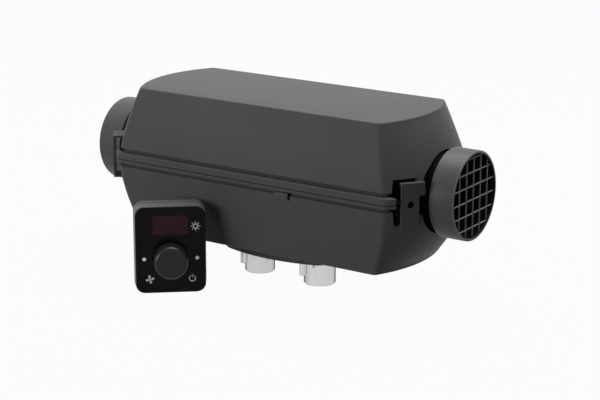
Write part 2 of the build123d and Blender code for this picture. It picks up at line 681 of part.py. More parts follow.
def heat_exchanger():
    """Finned casting with a closed far end and a foot for studs, pipes and gasket."""
    half_width, half_height = fin_half_sizes()
    fin_start = EXCHANGER_FACE_X - FLANGE_THICKNESS
    fin_end = EXCHANGER_END_X + FIN_END_SETBACK
    with BuildPart() as exchanger:
        add(domed_form(0))
        with BuildSketch(across(fin_start)) as fins:
            with PolarLocations(0, FIN_COUNT, start_angle=90):
                Rectangle(half_width + half_height, FIN_THICKNESS,
                          align=(Align.MIN, Align.CENTER))
            RectangleRounded(2 * half_width, 2 * half_height, FIN_CORNER_RADIUS,
                             mode=Mode.INTERSECT)
            Circle(JACKET_RADIUS - JACKET_WALL / 2, mode=Mode.SUBTRACT)
        extrude(fins.sketch, amount=fin_end - fin_start)
        tube(fin_start, EXCHANGER_FACE_X, FLANGE_RADIUS)
        extrude(pad_outline(GASKET_THICKNESS, SKIRT_WALL + SKIRT_GAP), amount=FOOT_THICKNESS)
        with BuildSketch(Plane.XY.offset(FOOT_TOP)) as pedestal:
            with Locations((PEDESTAL_CENTRE_X, 0)):
                RectangleRounded(2 * PEDESTAL_HALF_LENGTH, 2 * PEDESTAL_HALF_WIDTH,
                                 PEDESTAL_CORNER_RADIUS)
        extrude(pedestal.sketch, amount=AXIS_HEIGHT - FOOT_TOP - JACKET_RADIUS / 2)
        with BuildSketch(Plane.XY.offset(SENSOR_SEAT)) as flat:
            with Locations((SENSOR_X, 0)):
                Rectangle(2 * SENSOR_FLAT_HALF, 2 * SENSOR_FLAT_HALF)
        extrude(flat.sketch, amount=half_height, mode=Mode.SUBTRACT)
        extrude(flat.sketch, amount=-JACKET_RADIUS / 2)
        add(domed_form(JACKET_WALL), mode=Mode.SUBTRACT)
        for x, radius in ((EXHAUST_X, EXHAUST_RADIUS), (INTAKE_X, INTAKE_RADIUS)):
            upright(x, 0, GASKET_THICKNESS, GASKET_THICKNESS + PIPE_SEAT,
                    radius + COLLAR + FIT_GAP, mode=Mode.SUBTRACT)
        upright(EXHAUST_X, 0, GASKET_THICKNESS, AXIS_HEIGHT - JACKET_RADIUS / 2,
                EXHAUST_RADIUS - PIPE_WALL, mode=Mode.SUBTRACT)
        upright(INTAKE_X, 0, GASKET_THICKNESS, FOOT_TOP, INTAKE_RADIUS - PIPE_WALL,
                mode=Mode.SUBTRACT)
        upright(FUEL_PIPE_X, FUEL_PIPE_Y, GASKET_THICKNESS, FOOT_TOP,
                FUEL_PIPE_RADIUS + COLLAR + FIT_GAP, mode=Mode.SUBTRACT)
        with BuildSketch(Plane.XY.offset(GASKET_THICKNESS)) as stud_holes:
            with GridLocations(STUD_SPACING_X, STUD_SPACING_Y, 2, 2):
                Circle(STUD_RADIUS + COLLAR + FIT_GAP / 2)
        extrude(stud_holes.sketch, amount=FOOT_THICKNESS - STUD_COVER, mode=Mode.SUBTRACT)
        bolt_circle(EXCHANGER_FACE_X, -BOLT_GRIP, BOLT_RADIUS + FIT_GAP / 2)
    save(exchanger.part, "heat_exchanger")


def bolt_circle(start_x, depth, radius, mode=Mode.SUBTRACT):
    """The four long bolts of the blower, or holes for them."""
    with BuildSketch(across(start_x)) as bolts:
        with PolarLocations(BOLT_CIRCLE_RADIUS, 4, start_angle=45):
            Circle(radius)
    extrude(bolts.sketch, amount=depth, mode=mode)


def burner_gasket():
    with BuildPart() as gasket:
        tube(EXCHANGER_FACE_X, GASKET_END_X, FLANGE_RADIUS, JACKET_RADIUS - JACKET_WALL)
        bolt_circle(EXCHANGER_FACE_X, BURNER_GASKET_THICKNESS, BOLT_RADIUS + FIT_GAP)
    save(gasket.part, "burner_gasket")


def combustion_chamber():
    """Burner tube with rows of air holes, its flange and the head that holds the glow plug."""
    tube_end = GASKET_END_X - BURNER_LENGTH
    with BuildPart() as chamber:
        tube(tube_end, GASKET_END_X, BURNER_RADIUS, BURNER_RADIUS - BURNER_WALL)
        tube(GASKET_END_X, GASKET_END_X + HEAD_FLANGE_THICKNESS, FLANGE_RADIUS,
             HEAD_BORE_RADIUS)
        tube(GASKET_END_X, HEAD_END_X, HEAD_RADIUS, HEAD_BORE_RADIUS)
        for row in range(1, AIR_HOLE_ROWS + 1):
            hole_x = GASKET_END_X - row * BURNER_LENGTH / (AIR_HOLE_ROWS + 1)
            with BuildSketch(Plane.XY.offset(AXIS_HEIGHT)) as hole:
                with Locations((hole_x, 0)):
                    Circle(AIR_HOLE_RADIUS)
            for index in range(AIR_HOLE_COUNT):
                drill = extrude(hole.sketch, amount=2 * BURNER_RADIUS, mode=Mode.PRIVATE)
                turn = 360 * (index + row / 2) / AIR_HOLE_COUNT
                add(drill.rotate(AIR_AXIS, turn), mode=Mode.SUBTRACT)
        upright(FUEL_ENTRY_X, 0, AXIS_HEIGHT, AXIS_HEIGHT + 2 * HEAD_RADIUS,
                GLOW_BORE_RADIUS, mode=Mode.SUBTRACT)
        upright(FUEL_ENTRY_X, FUEL_PIPE_Y, AXIS_HEIGHT - 2 * HEAD_RADIUS, FUEL_ENTRY_TOP,
                FUEL_PIPE_RADIUS + FIT_GAP, mode=Mode.SUBTRACT)
        bolt_circle(GASKET_END_X, HEAD_FLANGE_THICKNESS, BOLT_RADIUS + FIT_GAP)
    save(chamber.part, "combustion_chamber")


def glow_plug():
    """Plug with a hexagon, reaching down into the burner head, and its wire-mesh screen."""
    x = FUEL_ENTRY_X
    tip = AXIS_HEIGHT + HEAD_BORE_RADIUS / 2
    shoulder = AXIS_HEIGHT + HEAD_RADIUS
    with BuildPart() as plug:
        upright(x, 0, tip, shoulder, GLOW_PLUG_RADIUS)
        with BuildSketch(Plane.XY.offset(shoulder)) as hexagon:
            with Locations((x, 0)):
                RegularPolygon(GLOW_HEX_RADIUS, 6, major_radius=False)
        extrude(hexagon.sketch, amount=GLOW_HEX_HEIGHT)
        upright(x, 0, shoulder + GLOW_HEX_HEIGHT, shoulder + 2 * GLOW_HEX_HEIGHT,
                GLOW_PLUG_RADIUS)
        upright(x, 0, shoulder + 2 * GLOW_HEX_HEIGHT, shoulder + 3 * GLOW_HEX_HEIGHT,
                GLOW_PLUG_RADIUS / 2)
    save(plug.part, "glow_plug")
    with BuildPart() as screen:
        upright(x, 0, AXIS_HEIGHT + HEAD_BORE_RADIUS, shoulder - GLOW_SCREEN_SETBACK,
                GLOW_BORE_RADIUS - FIT_GAP / 2, GLOW_PLUG_RADIUS + FIT_GAP / 2)
    save(screen.part, "glow_plug_screen")


def overheat_sensor():
    """Button sensor on the casting's flat, with the spring clip that presses it down."""
    sensor_top = SENSOR_SEAT + SENSOR_THICKNESS
    with BuildPart() as sensor:
        upright(SENSOR_X, 0, SENSOR_SEAT, sensor_top, SENSOR_RADIUS)
        with BuildSketch(Plane.XY.offset(sensor_top)) as terminals:
            with Locations((SENSOR_X, 0)):
                with GridLocations(2 * TERMINAL_OFFSET, 0, 2, 1):
                    Rectangle(0.8, 2.5)
        extrude(terminals.sketch, amount=SENSOR_THICKNESS)
    save(sensor.part, "overheat_sensor")
    strap = CLIP_STRAP_THICKNESS
    half_span = SENSOR_FLAT_HALF - SENSOR_STRAP_SETBACK
    with BuildPart() as clip:
        with BuildSketch(Plane.YZ.offset(SENSOR_X)) as bow:
            with BuildLine():
                Polyline((-half_span, SENSOR_SEAT), (-SENSOR_RADIUS - strap, SENSOR_SEAT),
                         (-SENSOR_RADIUS - strap, sensor_top), (SENSOR_RADIUS + strap, sensor_top),
                         (SENSOR_RADIUS + strap, SENSOR_SEAT), (half_span, SENSOR_SEAT),
                         (half_span, SENSOR_SEAT + strap),
                         (SENSOR_RADIUS + 2 * strap, SENSOR_SEAT + strap),
                         (SENSOR_RADIUS + 2 * strap, sensor_top + strap),
                         (-SENSOR_RADIUS - 2 * strap, sensor_top + strap),
                         (-SENSOR_RADIUS - 2 * strap, SENSOR_SEAT + strap),
                         (-half_span, SENSOR_SEAT + strap), close=True)
            make_face()
        extrude(bow.sketch, amount=SENSOR_STRAP_WIDTH / 2, both=True)
    save(clip.part, "sensor_clip")


def blower_housing():
    """Cast cup round the combustion impeller, with the motor's sleeve and the intake neck."""
    cavity_end = COVER_END_X + BLOWER_CAVITY_DEPTH
    cavity_floor = AXIS_HEIGHT - BLOWER_CAVITY_RADIUS
    with BuildPart() as housing:
        tube(HEAD_END_X, BLOWER_END_X, BLOWER_RADIUS)
        tube(BLOWER_END_X, BLOWER_END_X + MOTOR_SLEEVE_LENGTH,
             MOTOR_RADIUS + FIT_GAP + MOTOR_SLEEVE_WALL)
        with BuildSketch(Plane.XY.offset(FOOT_TOP)) as neck:
            with Locations(((NECK_START_X + NECK_END_X) / 2, 0)):
                RectangleRounded(NECK_END_X - NECK_START_X, 2 * NECK_HALF_WIDTH, NECK_WALL)
        extrude(neck.sketch, amount=cavity_floor - NECK_WALL - FOOT_TOP)
        tube(HEAD_END_X, COVER_END_X, COVER_RADIUS + FIT_GAP, mode=Mode.SUBTRACT)
        tube(COVER_END_X, cavity_end, BLOWER_CAVITY_RADIUS, mode=Mode.SUBTRACT)
        tube(cavity_end, BLOWER_END_X, SHAFT_RADIUS + 10 * FIT_GAP, mode=Mode.SUBTRACT)
        tube(BLOWER_END_X, BLOWER_END_X + MOTOR_SLEEVE_LENGTH, MOTOR_RADIUS + FIT_GAP,
             mode=Mode.SUBTRACT)
        with BuildSketch(Plane.XY.offset(FOOT_TOP)) as channel:
            with Locations(((NECK_START_X + NECK_END_X) / 2, 0)):
                Rectangle(NECK_END_X - NECK_START_X - 2 * NECK_WALL,
                          2 * NECK_HALF_WIDTH - 2 * NECK_WALL)
        extrude(channel.sketch, amount=cavity_floor - 3 * NECK_WALL - FOOT_TOP,
                mode=Mode.SUBTRACT)
        with BuildSketch(Plane.XY.offset(FOOT_TOP)) as port:
            with Locations(((COVER_END_X + NECK_END_X - NECK_WALL) / 2, 0)):
                Rectangle(NECK_END_X - NECK_WALL - COVER_END_X - 1,
                          2 * NECK_HALF_WIDTH - 2 * NECK_WALL)
        extrude(port.sketch, amount=BLOWER_CAVITY_RADIUS / 2, mode=Mode.SUBTRACT)
        bolt_circle(HEAD_END_X, BLOWER_END_X - HEAD_END_X, BOLT_RADIUS + FIT_GAP)
    save(housing.part, "blower_housing")


def blower_cover():
    """Plate between the impeller and the burner head, with the eye that air leaves by."""
    with BuildPart() as cover:
        tube(HEAD_END_X, COVER_END_X, COVER_RADIUS, COVER_EYE_RADIUS)
    save(cover.part, "blower_cover")


def blower_bolts():
    """Four long bolts that clamp blower, burner and gasket to the heat exchanger."""
    with BuildPart() as bolts:
        start = EXCHANGER_FACE_X - BOLT_GRIP
        bolt_circle(start, BLOWER_END_X - start, BOLT_RADIUS, mode=Mode.ADD)
        bolt_circle(BLOWER_END_X, BOLT_HEAD_HEIGHT, BOLT_HEAD_RADIUS, mode=Mode.ADD)
        with BuildSketch(across(BLOWER_END_X + BOLT_HEAD_HEIGHT)) as sockets:
            with PolarLocations(BOLT_CIRCLE_RADIUS, 4, start_angle=45):
                RegularPolygon(BOLT_RADIUS, 6)
        extrude(sockets.sketch, amount=-BOLT_HEAD_HEIGHT / 2, mode=Mode.SUBTRACT)
    save(bolts.part, "blower_bolts")


def motor_can():
    """Drawn steel can with a bearing sleeve in its closed end."""
    sleeve = BEARING_RADIUS + FIT_GAP / 2
    cap_start = MOTOR_END_X - END_CAP_THICKNESS
    with BuildPart() as can:
        turned([(BLOWER_END_X, sleeve), (BLOWER_END_X, MOTOR_RADIUS),
                (cap_start, MOTOR_RADIUS), (cap_start, MOTOR_RADIUS - CAN_WALL),
                (BLOWER_END_X + CAN_WALL, MOTOR_RADIUS - CAN_WALL),
                (BLOWER_END_X + CAN_WALL, sleeve + BEARING_SLEEVE_WALL),
                (BLOWER_END_X + BEARING_WIDTH, sleeve + BEARING_SLEEVE_WALL),
                (BLOWER_END_X + BEARING_WIDTH, sleeve)])
    save(can.part, "motor_can")
    with BuildPart() as cap:
        turned([(cap_start, sleeve + BEARING_SLEEVE_WALL), (cap_start, MOTOR_RADIUS),
                (MOTOR_END_X, MOTOR_RADIUS), (MOTOR_END_X, sleeve),
                (MOTOR_END_X - BEARING_WIDTH, sleeve),
                (MOTOR_END_X - BEARING_WIDTH, sleeve + BEARING_SLEEVE_WALL)])
    save(cap.part, "motor_end_cap")


def bearing(start_x, name):
    with BuildPart() as ring:
        tube(start_x, start_x + BEARING_WIDTH, BEARING_RADIUS, SHAFT_RADIUS + RUNNING_GAP)
        rims = ring.edges().filter_by(GeomType.CIRCLE).sort_by(SortBy.RADIUS)[-2:]
        chamfer(rims, 0.3)
    save(ring.part, name)


def stator_magnets():
    """Two curved magnets inside the can."""
    outer = MOTOR_RADIUS - CAN_WALL - FIT_GAP / 2
    middle = (BLOWER_END_X + MOTOR_END_X) / 2
    with BuildPart() as magnets:
        tube(middle - MAGNET_LENGTH / 2, middle + MAGNET_LENGTH / 2, outer,
             outer - MAGNET_THICKNESS)
        with BuildSketch(across(middle - MAGNET_LENGTH / 2)) as gap:
            Rectangle(outer / 2, 2 * MOTOR_RADIUS)
        extrude(gap.sketch, amount=MAGNET_LENGTH, mode=Mode.SUBTRACT)
    save(magnets.part, "stator_magnets")


def armature():
    """Slotted iron core and commutator on the shaft."""
    radius = MOTOR_RADIUS - CAN_WALL - FIT_GAP / 2 - MAGNET_THICKNESS - ARMATURE_GAP
    middle = (BLOWER_END_X + MOTOR_END_X) / 2
    bore = SHAFT_RADIUS + FIT_GAP / 2
    with BuildPart() as core:
        with BuildSketch(across(middle - MAGNET_LENGTH / 2)) as lamination:
            Circle(radius)
            Circle(bore, mode=Mode.SUBTRACT)
            with PolarLocations(radius, ARMATURE_SLOTS):
                Rectangle(radius, ARMATURE_SLOT_WIDTH, mode=Mode.SUBTRACT)
        extrude(lamination.sketch, amount=MAGNET_LENGTH)
        tube(middle + MAGNET_LENGTH / 2, MOTOR_END_X - BEARING_WIDTH - 1, radius / 2.5, bore)
    save(core.part, "armature")


def motor_shaft():
    start = COVER_END_X + IMPELLER_GAP
    with BuildPart() as shaft:
        tube(start, FAN_END_X - FAN_NOSE_RADIUS, SHAFT_RADIUS)
        ends = shaft.faces().filter_by(GeomType.PLANE).edges()
        chamfer(ends, 0.4)
    save(shaft.part, "motor_shaft")


def combustion_impeller():
    """Radial wheel with curved blades that blows air into the burner."""
    start = COVER_END_X + IMPELLER_GAP
    plate_start = COVER_END_X + BLOWER_CAVITY_DEPTH - IMPELLER_GAP - IMPELLER_PLATE
    bore = SHAFT_RADIUS + FIT_GAP / 2
    with BuildPart() as wheel:
        tube(plate_start, plate_start + IMPELLER_PLATE, IMPELLER_RADIUS, bore)
        tube(start, plate_start, FAN_BOSS_RADIUS, bore)
        with BuildSketch(across(start)) as blades:
            with PolarLocations(IMPELLER_RADIUS * 0.7, IMPELLER_BLADES):
                Rectangle(IMPELLER_RADIUS * 0.55, IMPELLER_BLADE_THICKNESS,
                          rotation=IMPELLER_BLADE_LEAN)
        extrude(blades.sketch, amount=plate_start - start)
    save(wheel.part, "combustion_impeller")


def fan_blade():
    """One blade, built out along +X round the fan's axis as +Z, and set at an angle to it."""
    root = FAN_HUB_RADIUS - FAN_HUB_WALL / 2
    with BuildPart() as blade:
        with BuildSketch(Plane.XY) as outline:
            with BuildLine():
                Polyline((root, -FAN_BLADE_ROOT / 2), (FAN_RADIUS - 2, -FAN_BLADE_TIP / 2),
                         (FAN_RADIUS, 2 - FAN_BLADE_TIP / 2), (FAN_RADIUS, FAN_BLADE_TIP / 2 - 2),
                         (FAN_RADIUS - 2, FAN_BLADE_TIP / 2), (root, FAN_BLADE_ROOT / 2),
                         close=True)
            make_face()
        extrude(outline.sketch, amount=FAN_BLADE_THICKNESS / 2, both=True)
    return blade.part.rotate(Axis.X, FAN_BLADE_ANGLE).moved(Location((0, 0, FAN_LENGTH / 2)))


def heating_fan():
    """Axial wheel that drives the warm air, with a rounded nose towards the grille."""
    blade = fan_blade()
    nose_start = FAN_END_X - FAN_NOSE_RADIUS
    bore = SHAFT_RADIUS + FIT_GAP / 2
    with BuildPart() as fan:
        tube(FAN_START_X, FAN_END_X, FAN_HUB_RADIUS)
        nose_rim = fan.faces().sort_by(Axis.X)[-1].edges()
        chamfer(nose_rim, FAN_NOSE_RADIUS - FAN_HUB_WALL)
        tube(FAN_START_X, nose_start, FAN_HUB_RADIUS - FAN_HUB_WALL, mode=Mode.SUBTRACT)
        tube(FAN_START_X + FAN_HUB_WALL, nose_start, FAN_BOSS_RADIUS)
        tube(FAN_START_X, nose_start, bore, mode=Mode.SUBTRACT)
        for index in range(FAN_BLADES):
            placed = blade.moved(across(FAN_START_X).location)
            add(placed.rotate(AIR_AXIS, 360 * index / FAN_BLADES))
    save(fan.part, "heating_fan")
    with BuildPart() as magnet:
        tube(FAN_START_X + FAN_HUB_WALL, FAN_START_X + 3 * FAN_HUB_WALL,
             FAN_BOSS_RADIUS + FAN_MAGNET_WALL, FAN_BOSS_RADIUS + FIT_GAP / 2)
    save(magnet.part, "fan_magnet")


def control_unit():
    """Electronics box that sits astride the motor, and its board."""
    start = BLOWER_END_X + MOTOR_SLEEVE_LENGTH + UNIT_GAP
    end = MOTOR_END_X
    board_level = AXIS_HEIGHT + MOTOR_RADIUS + 2 * UNIT_WALL
    with BuildPart() as case:
        with BuildSketch(Plane.XY.offset(AXIS_HEIGHT + UNIT_BOTTOM)) as outline:
            with Locations(((start + end) / 2, 0)):
                RectangleRounded(end - start, 2 * UNIT_HALF_WIDTH, UNIT_CORNER_RADIUS)
        extrude(outline.sketch, amount=UNIT_TOP - UNIT_BOTTOM)
        top_rim = case.faces().sort_by(Axis.Z)[-1].edges()
        chamfer(top_rim, UNIT_EDGE_RADIUS)
        tube(start, end, MOTOR_RADIUS + FIT_GAP, mode=Mode.SUBTRACT)
        with BuildSketch(Plane.XY.offset(board_level)) as hollow:
            with Locations(((start + end) / 2, 0)):
                RectangleRounded(end - start - 2 * UNIT_WALL,
                                 2 * UNIT_HALF_WIDTH - 2 * UNIT_WALL, UNIT_EDGE_RADIUS)
        extrude(hollow.sketch, amount=AXIS_HEIGHT + UNIT_TOP - UNIT_WALL - board_level,
                mode=Mode.SUBTRACT)
    save(case.part, "control_unit_case")
    with BuildPart() as board:
        with BuildSketch(Plane.XY.offset(board_level)) as outline:
            with Locations(((start + end) / 2, 0)):
                RectangleRounded(end - start - 2 * UNIT_WALL - 2 * FIT_GAP,
                                 2 * UNIT_HALF_WIDTH - 2 * UNIT_WALL - 2 * FIT_GAP,
                                 UNIT_EDGE_RADIUS)
        extrude(outline.sketch, amount=BOARD_THICKNESS)
        with BuildSketch(Plane.XY.offset(board_level + BOARD_THICKNESS)) as chips:
            with Locations(((start + end) / 2, 0)):
                with GridLocations(0, UNIT_HALF_WIDTH / 1.5, 1, 3):
                    Rectangle(UNIT_CHIP, UNIT_CHIP)
        extrude(chips.sketch, amount=BOARD_THICKNESS)
    save(board.part, "control_unit_board")


def harness_grommet():
    """Rubber grommet in the belly, where the harness leaves the heater."""
    inner = GROMMET_RADIUS - FIT_GAP
    with BuildPart() as grommet:
        upright(GROMMET_X, 0, BELLY_HEIGHT - GROMMET_LIP, BELLY_HEIGHT, inner + GROMMET_LIP)
        upright(GROMMET_X, 0, BELLY_HEIGHT, BELLY_HEIGHT + WALL, inner)
        upright(GROMMET_X, 0, BELLY_HEIGHT + WALL, BELLY_HEIGHT + WALL + GROMMET_LIP,
                inner + GROMMET_LIP)
        upright(GROMMET_X, 0, BELLY_HEIGHT - GROMMET_LIP, BELLY_HEIGHT + WALL + GROMMET_LIP,
                GROMMET_BORE_RADIUS, mode=Mode.SUBTRACT)
    save(grommet.part, "harness_grommet")


def panel_block(start, depth, width, height, radius, level=0.0, mode=Mode.ADD):
    """Rounded block of the panel: from start behind the front, depth further back."""
    with BuildSketch(panel_plane(start)) as outline:
        with Locations((0, level + height / 2)):
            RectangleRounded(width, height, radius)
    extrude(outline.sketch, amount=-depth, mode=mode)


def panel_disc(start, depth, x, level, radius, mode=Mode.ADD):
    """Round piece or hole of the panel at x and level, from start behind the front."""
    with BuildSketch(panel_plane(start)) as outline:
        with Locations((x, level)):
            Circle(radius)
    extrude(outline.sketch, amount=-depth, mode=mode)


def panel_case():
    """Front frame and back cover of the control panel."""
    split = PANEL_DEPTH - PANEL_BACK_DEPTH
    inner_width = PANEL_WIDTH - 2 * PANEL_WALL
    inner_height = PANEL_HEIGHT - 2 * PANEL_WALL
    inner_radius = PANEL_CORNER_RADIUS - PANEL_WALL
    back_width = PANEL_WIDTH + 2 * PANEL_TAPER
    back_height = PANEL_HEIGHT + 2 * PANEL_TAPER
    back_radius = PANEL_CORNER_RADIUS + PANEL_TAPER
    with BuildPart() as frame:
        with BuildSketch(panel_plane(0)) as front:
            with Locations((0, PANEL_HEIGHT / 2)):
                RectangleRounded(PANEL_WIDTH, PANEL_HEIGHT, PANEL_CORNER_RADIUS)
        with BuildSketch(panel_plane(split)) as rear:
            with Locations((0, PANEL_HEIGHT / 2)):
                RectangleRounded(back_width, back_height, back_radius)
        loft(sections=[front.sketch, rear.sketch], ruled=True)
        front_rim = frame.faces().sort_by_distance(panel_plane(0).origin)[0].edges()
        chamfer(front_rim, PANEL_EDGE_CHAMFER)
        recess = FACE_THICKNESS + FACE_INSET
        panel_block(0, recess, PANEL_WIDTH - 2 * FACE_MARGIN, PANEL_HEIGHT - 2 * FACE_MARGIN,
                    PANEL_CORNER_RADIUS - FACE_MARGIN, FACE_MARGIN, mode=Mode.SUBTRACT)
        ledge = FACE_MARGIN + LEDGE_WIDTH
        panel_block(recess, FACE_THICKNESS, PANEL_WIDTH - 2 * ledge, PANEL_HEIGHT - 2 * ledge,
                    PANEL_CORNER_RADIUS - FACE_MARGIN, ledge, mode=Mode.SUBTRACT)
        panel_block(recess + FACE_THICKNESS, split, inner_width, inner_height, inner_radius,
                    PANEL_WALL, mode=Mode.SUBTRACT)
    save(frame.part, "panel_frame")
    with BuildPart() as back:
        panel_block(split, PANEL_BACK_DEPTH, back_width, back_height, back_radius,
                    -PANEL_TAPER)
        panel_block(split, PANEL_BACK_DEPTH - PANEL_WALL, inner_width, inner_height,
                    inner_radius, PANEL_WALL, mode=Mode.SUBTRACT)
        panel_block(PANEL_DEPTH - PANEL_WALL, PANEL_WALL, SOCKET_WIDTH + 2 * FIT_GAP,
                    SOCKET_HEIGHT + 2 * FIT_GAP, 1.0, SOCKET_LEVEL - FIT_GAP,
                    mode=Mode.SUBTRACT)
    save(back.part, "panel_back")


def panel_face():
    """Glossy face with its display window, lamp holes and the dish round the knob."""
    width = PANEL_WIDTH - 2 * FACE_MARGIN - 2 * FIT_GAP
    height = PANEL_HEIGHT - 2 * FACE_MARGIN - 2 * FIT_GAP
    with BuildPart() as face:
        panel_block(FACE_INSET, FACE_THICKNESS, width, height,
                    PANEL_CORNER_RADIUS - FACE_MARGIN - FIT_GAP, FACE_MARGIN + FIT_GAP)
        panel_disc(FACE_INSET, DISH_DEPTH, 0, KNOB_LEVEL, DISH_RADIUS, mode=Mode.SUBTRACT)
        panel_disc(FACE_INSET, FACE_THICKNESS, 0, KNOB_LEVEL, BUSHING_RADIUS + FIT_GAP,
                   mode=Mode.SUBTRACT)
        for side in (1, -1):
            panel_disc(FACE_INSET, FACE_THICKNESS, side * LAMP_OFFSET, KNOB_LEVEL,
                       LAMP_RADIUS + FIT_GAP, mode=Mode.SUBTRACT)
        panel_block(FACE_INSET, FACE_THICKNESS, DISPLAY_WIDTH, DISPLAY_HEIGHT, 0.8,
                    DISPLAY_LEVEL - DISPLAY_HEIGHT / 2, mode=Mode.SUBTRACT)
    save(face.part, "panel_face")
    with BuildPart() as window:
        panel_block(FACE_INSET, FACE_THICKNESS, DISPLAY_WIDTH - 2 * FIT_GAP,
                    DISPLAY_HEIGHT - 2 * FIT_GAP, 0.7,
                    DISPLAY_LEVEL - DISPLAY_HEIGHT / 2 + FIT_GAP)
    save(window.part, "display_window")


def panel_lamps():
    """Lenses of the two indicator lamps, lit from the board."""
    for side, name in ((-1, "left"), (1, "right")):
        with BuildPart() as lens:
            panel_disc(FACE_INSET, PANEL_BOARD_DEPTH - FACE_INSET, side * LAMP_OFFSET,
                       KNOB_LEVEL, LAMP_RADIUS)
        save(lens.part, f"indicator_lens_{name}")


def panel_electronics():
    """Board, display module, encoder and cable socket inside the panel."""
    behind_face = FACE_INSET + FACE_THICKNESS
    with BuildPart() as module:
        panel_block(behind_face, PANEL_BOARD_DEPTH - behind_face,
                    DISPLAY_WIDTH + 2 * DISPLAY_MARGIN, DISPLAY_HEIGHT + 2 * DISPLAY_MARGIN,
                    0.5, DISPLAY_LEVEL - DISPLAY_HEIGHT / 2 - DISPLAY_MARGIN)
    save(module.part, "display_module")
    with BuildPart() as board:
        panel_block(PANEL_BOARD_DEPTH, BOARD_THICKNESS, PANEL_WIDTH - 2 * PANEL_WALL - 1,
                    PANEL_HEIGHT - 2 * PANEL_WALL - 1, PANEL_CORNER_RADIUS - PANEL_WALL,
                    PANEL_WALL + 0.5)
    save(board.part, "panel_board")
    body_start = behind_face + FIT_GAP
    plunger_start = PANEL_BOARD_DEPTH - PLUNGER_REACH
    with BuildPart() as encoder:
        panel_block(body_start, PANEL_BOARD_DEPTH - body_start, ENCODER_SIZE, ENCODER_SIZE,
                    0.5, KNOB_LEVEL - ENCODER_SIZE / 2)
        panel_disc(FACE_INSET + DISH_DEPTH, body_start - FACE_INSET - DISH_DEPTH, 0,
                   KNOB_LEVEL, BUSHING_RADIUS)
        panel_disc(0, plunger_start, 0, KNOB_LEVEL, STEM_RADIUS + RUNNING_GAP,
                   mode=Mode.SUBTRACT)
        panel_disc(plunger_start, PLUNGER_REACH, 0, KNOB_LEVEL, PLUNGER_RADIUS + RUNNING_GAP,
                   mode=Mode.SUBTRACT)
    save(encoder.part, "encoder_body")
    with BuildPart() as plunger:
        panel_disc(plunger_start - KNOB_TRAVEL, PLUNGER_REACH - FIT_GAP, 0, KNOB_LEVEL,
                   PLUNGER_RADIUS)
    save(plunger.part, "switch_plunger")
    stem_back = plunger_start - KNOB_TRAVEL - FIT_GAP
    knob_floor = KNOB_REACH - KNOB_WALL
    with BuildPart() as stem:
        panel_disc(-knob_floor + FIT_GAP, stem_back + knob_floor - FIT_GAP, 0, KNOB_LEVEL,
                   STEM_RADIUS)
    save(stem.part, "encoder_stem")
    with BuildPart() as socket:
        panel_block(PANEL_BOARD_DEPTH + BOARD_THICKNESS,
                    PANEL_DEPTH - PANEL_BOARD_DEPTH - BOARD_THICKNESS, SOCKET_WIDTH,
                    SOCKET_HEIGHT, 0.8, SOCKET_LEVEL)
        panel_block(PANEL_DEPTH - SOCKET_DEPTH, SOCKET_DEPTH, SOCKET_WIDTH - 2 * SOCKET_WALL,
                    SOCKET_HEIGHT - 2 * SOCKET_WALL, 0.5, SOCKET_LEVEL + SOCKET_WALL,
                    mode=Mode.SUBTRACT)
    save(socket.part, "cable_socket")


def control_knob():
    """Knob that turns and presses: hollow, with a dished face and a hub on the stem."""
    base = KNOB_TRAVEL + FIT_GAP - FACE_INSET
    rise = KNOB_REACH - base
    with BuildPart() as knob:
        panel_disc(-base, -rise, 0, KNOB_LEVEL, KNOB_RADIUS)
        crown = knob.faces().sort_by_distance(panel_plane(-KNOB_REACH).origin)[0]
        chamfer(crown.edges(), KNOB_EDGE_CHAMFER)
        panel_disc(-base, -(rise - KNOB_WALL), 0, KNOB_LEVEL, KNOB_RADIUS - KNOB_WALL,
                   mode=Mode.SUBTRACT)
        panel_disc(-base, -(rise - KNOB_WALL), 0, KNOB_LEVEL, STEM_RADIUS + KNOB_WALL)
        panel_disc(-base, -(rise - KNOB_WALL), 0, KNOB_LEVEL, STEM_RADIUS + FIT_GAP / 2,
                   mode=Mode.SUBTRACT)
        panel_disc(-KNOB_REACH, KNOB_DISH, 0, KNOB_LEVEL, KNOB_RADIUS - 3 * KNOB_EDGE_CHAMFER,
                   mode=Mode.SUBTRACT)
    save(knob.part, "control_knob")


upper_shell()
lower_shell()
duct_ring(1, INLET_REACH, "inlet_ring")
duct_ring(-1, OUTLET_REACH, "outlet_ring")
inlet_grille()
seam_clips()
clip_screws()
base_gasket()
mounting_studs()
stub_pipe(EXHAUST_X, EXHAUST_RADIUS, "exhaust_pipe")
stub_pipe(INTAKE_X, INTAKE_RADIUS, "intake_pipe")
fuel_pipe()
heat_exchanger()
burner_gasket()
combustion_chamber()
glow_plug()
overheat_sensor()
blower_housing()
blower_cover()
blower_bolts()
motor_can()
bearing(BLOWER_END_X, "bearing_burner_side")
bearing(MOTOR_END_X - BEARING_WIDTH, "bearing_fan_side")
stator_magnets()
armature()
motor_shaft()
combustion_impeller()
heating_fan()
control_unit()
harness_grommet()
panel_case()
panel_face()
panel_lamps()
panel_electronics()
control_knob()
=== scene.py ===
import math

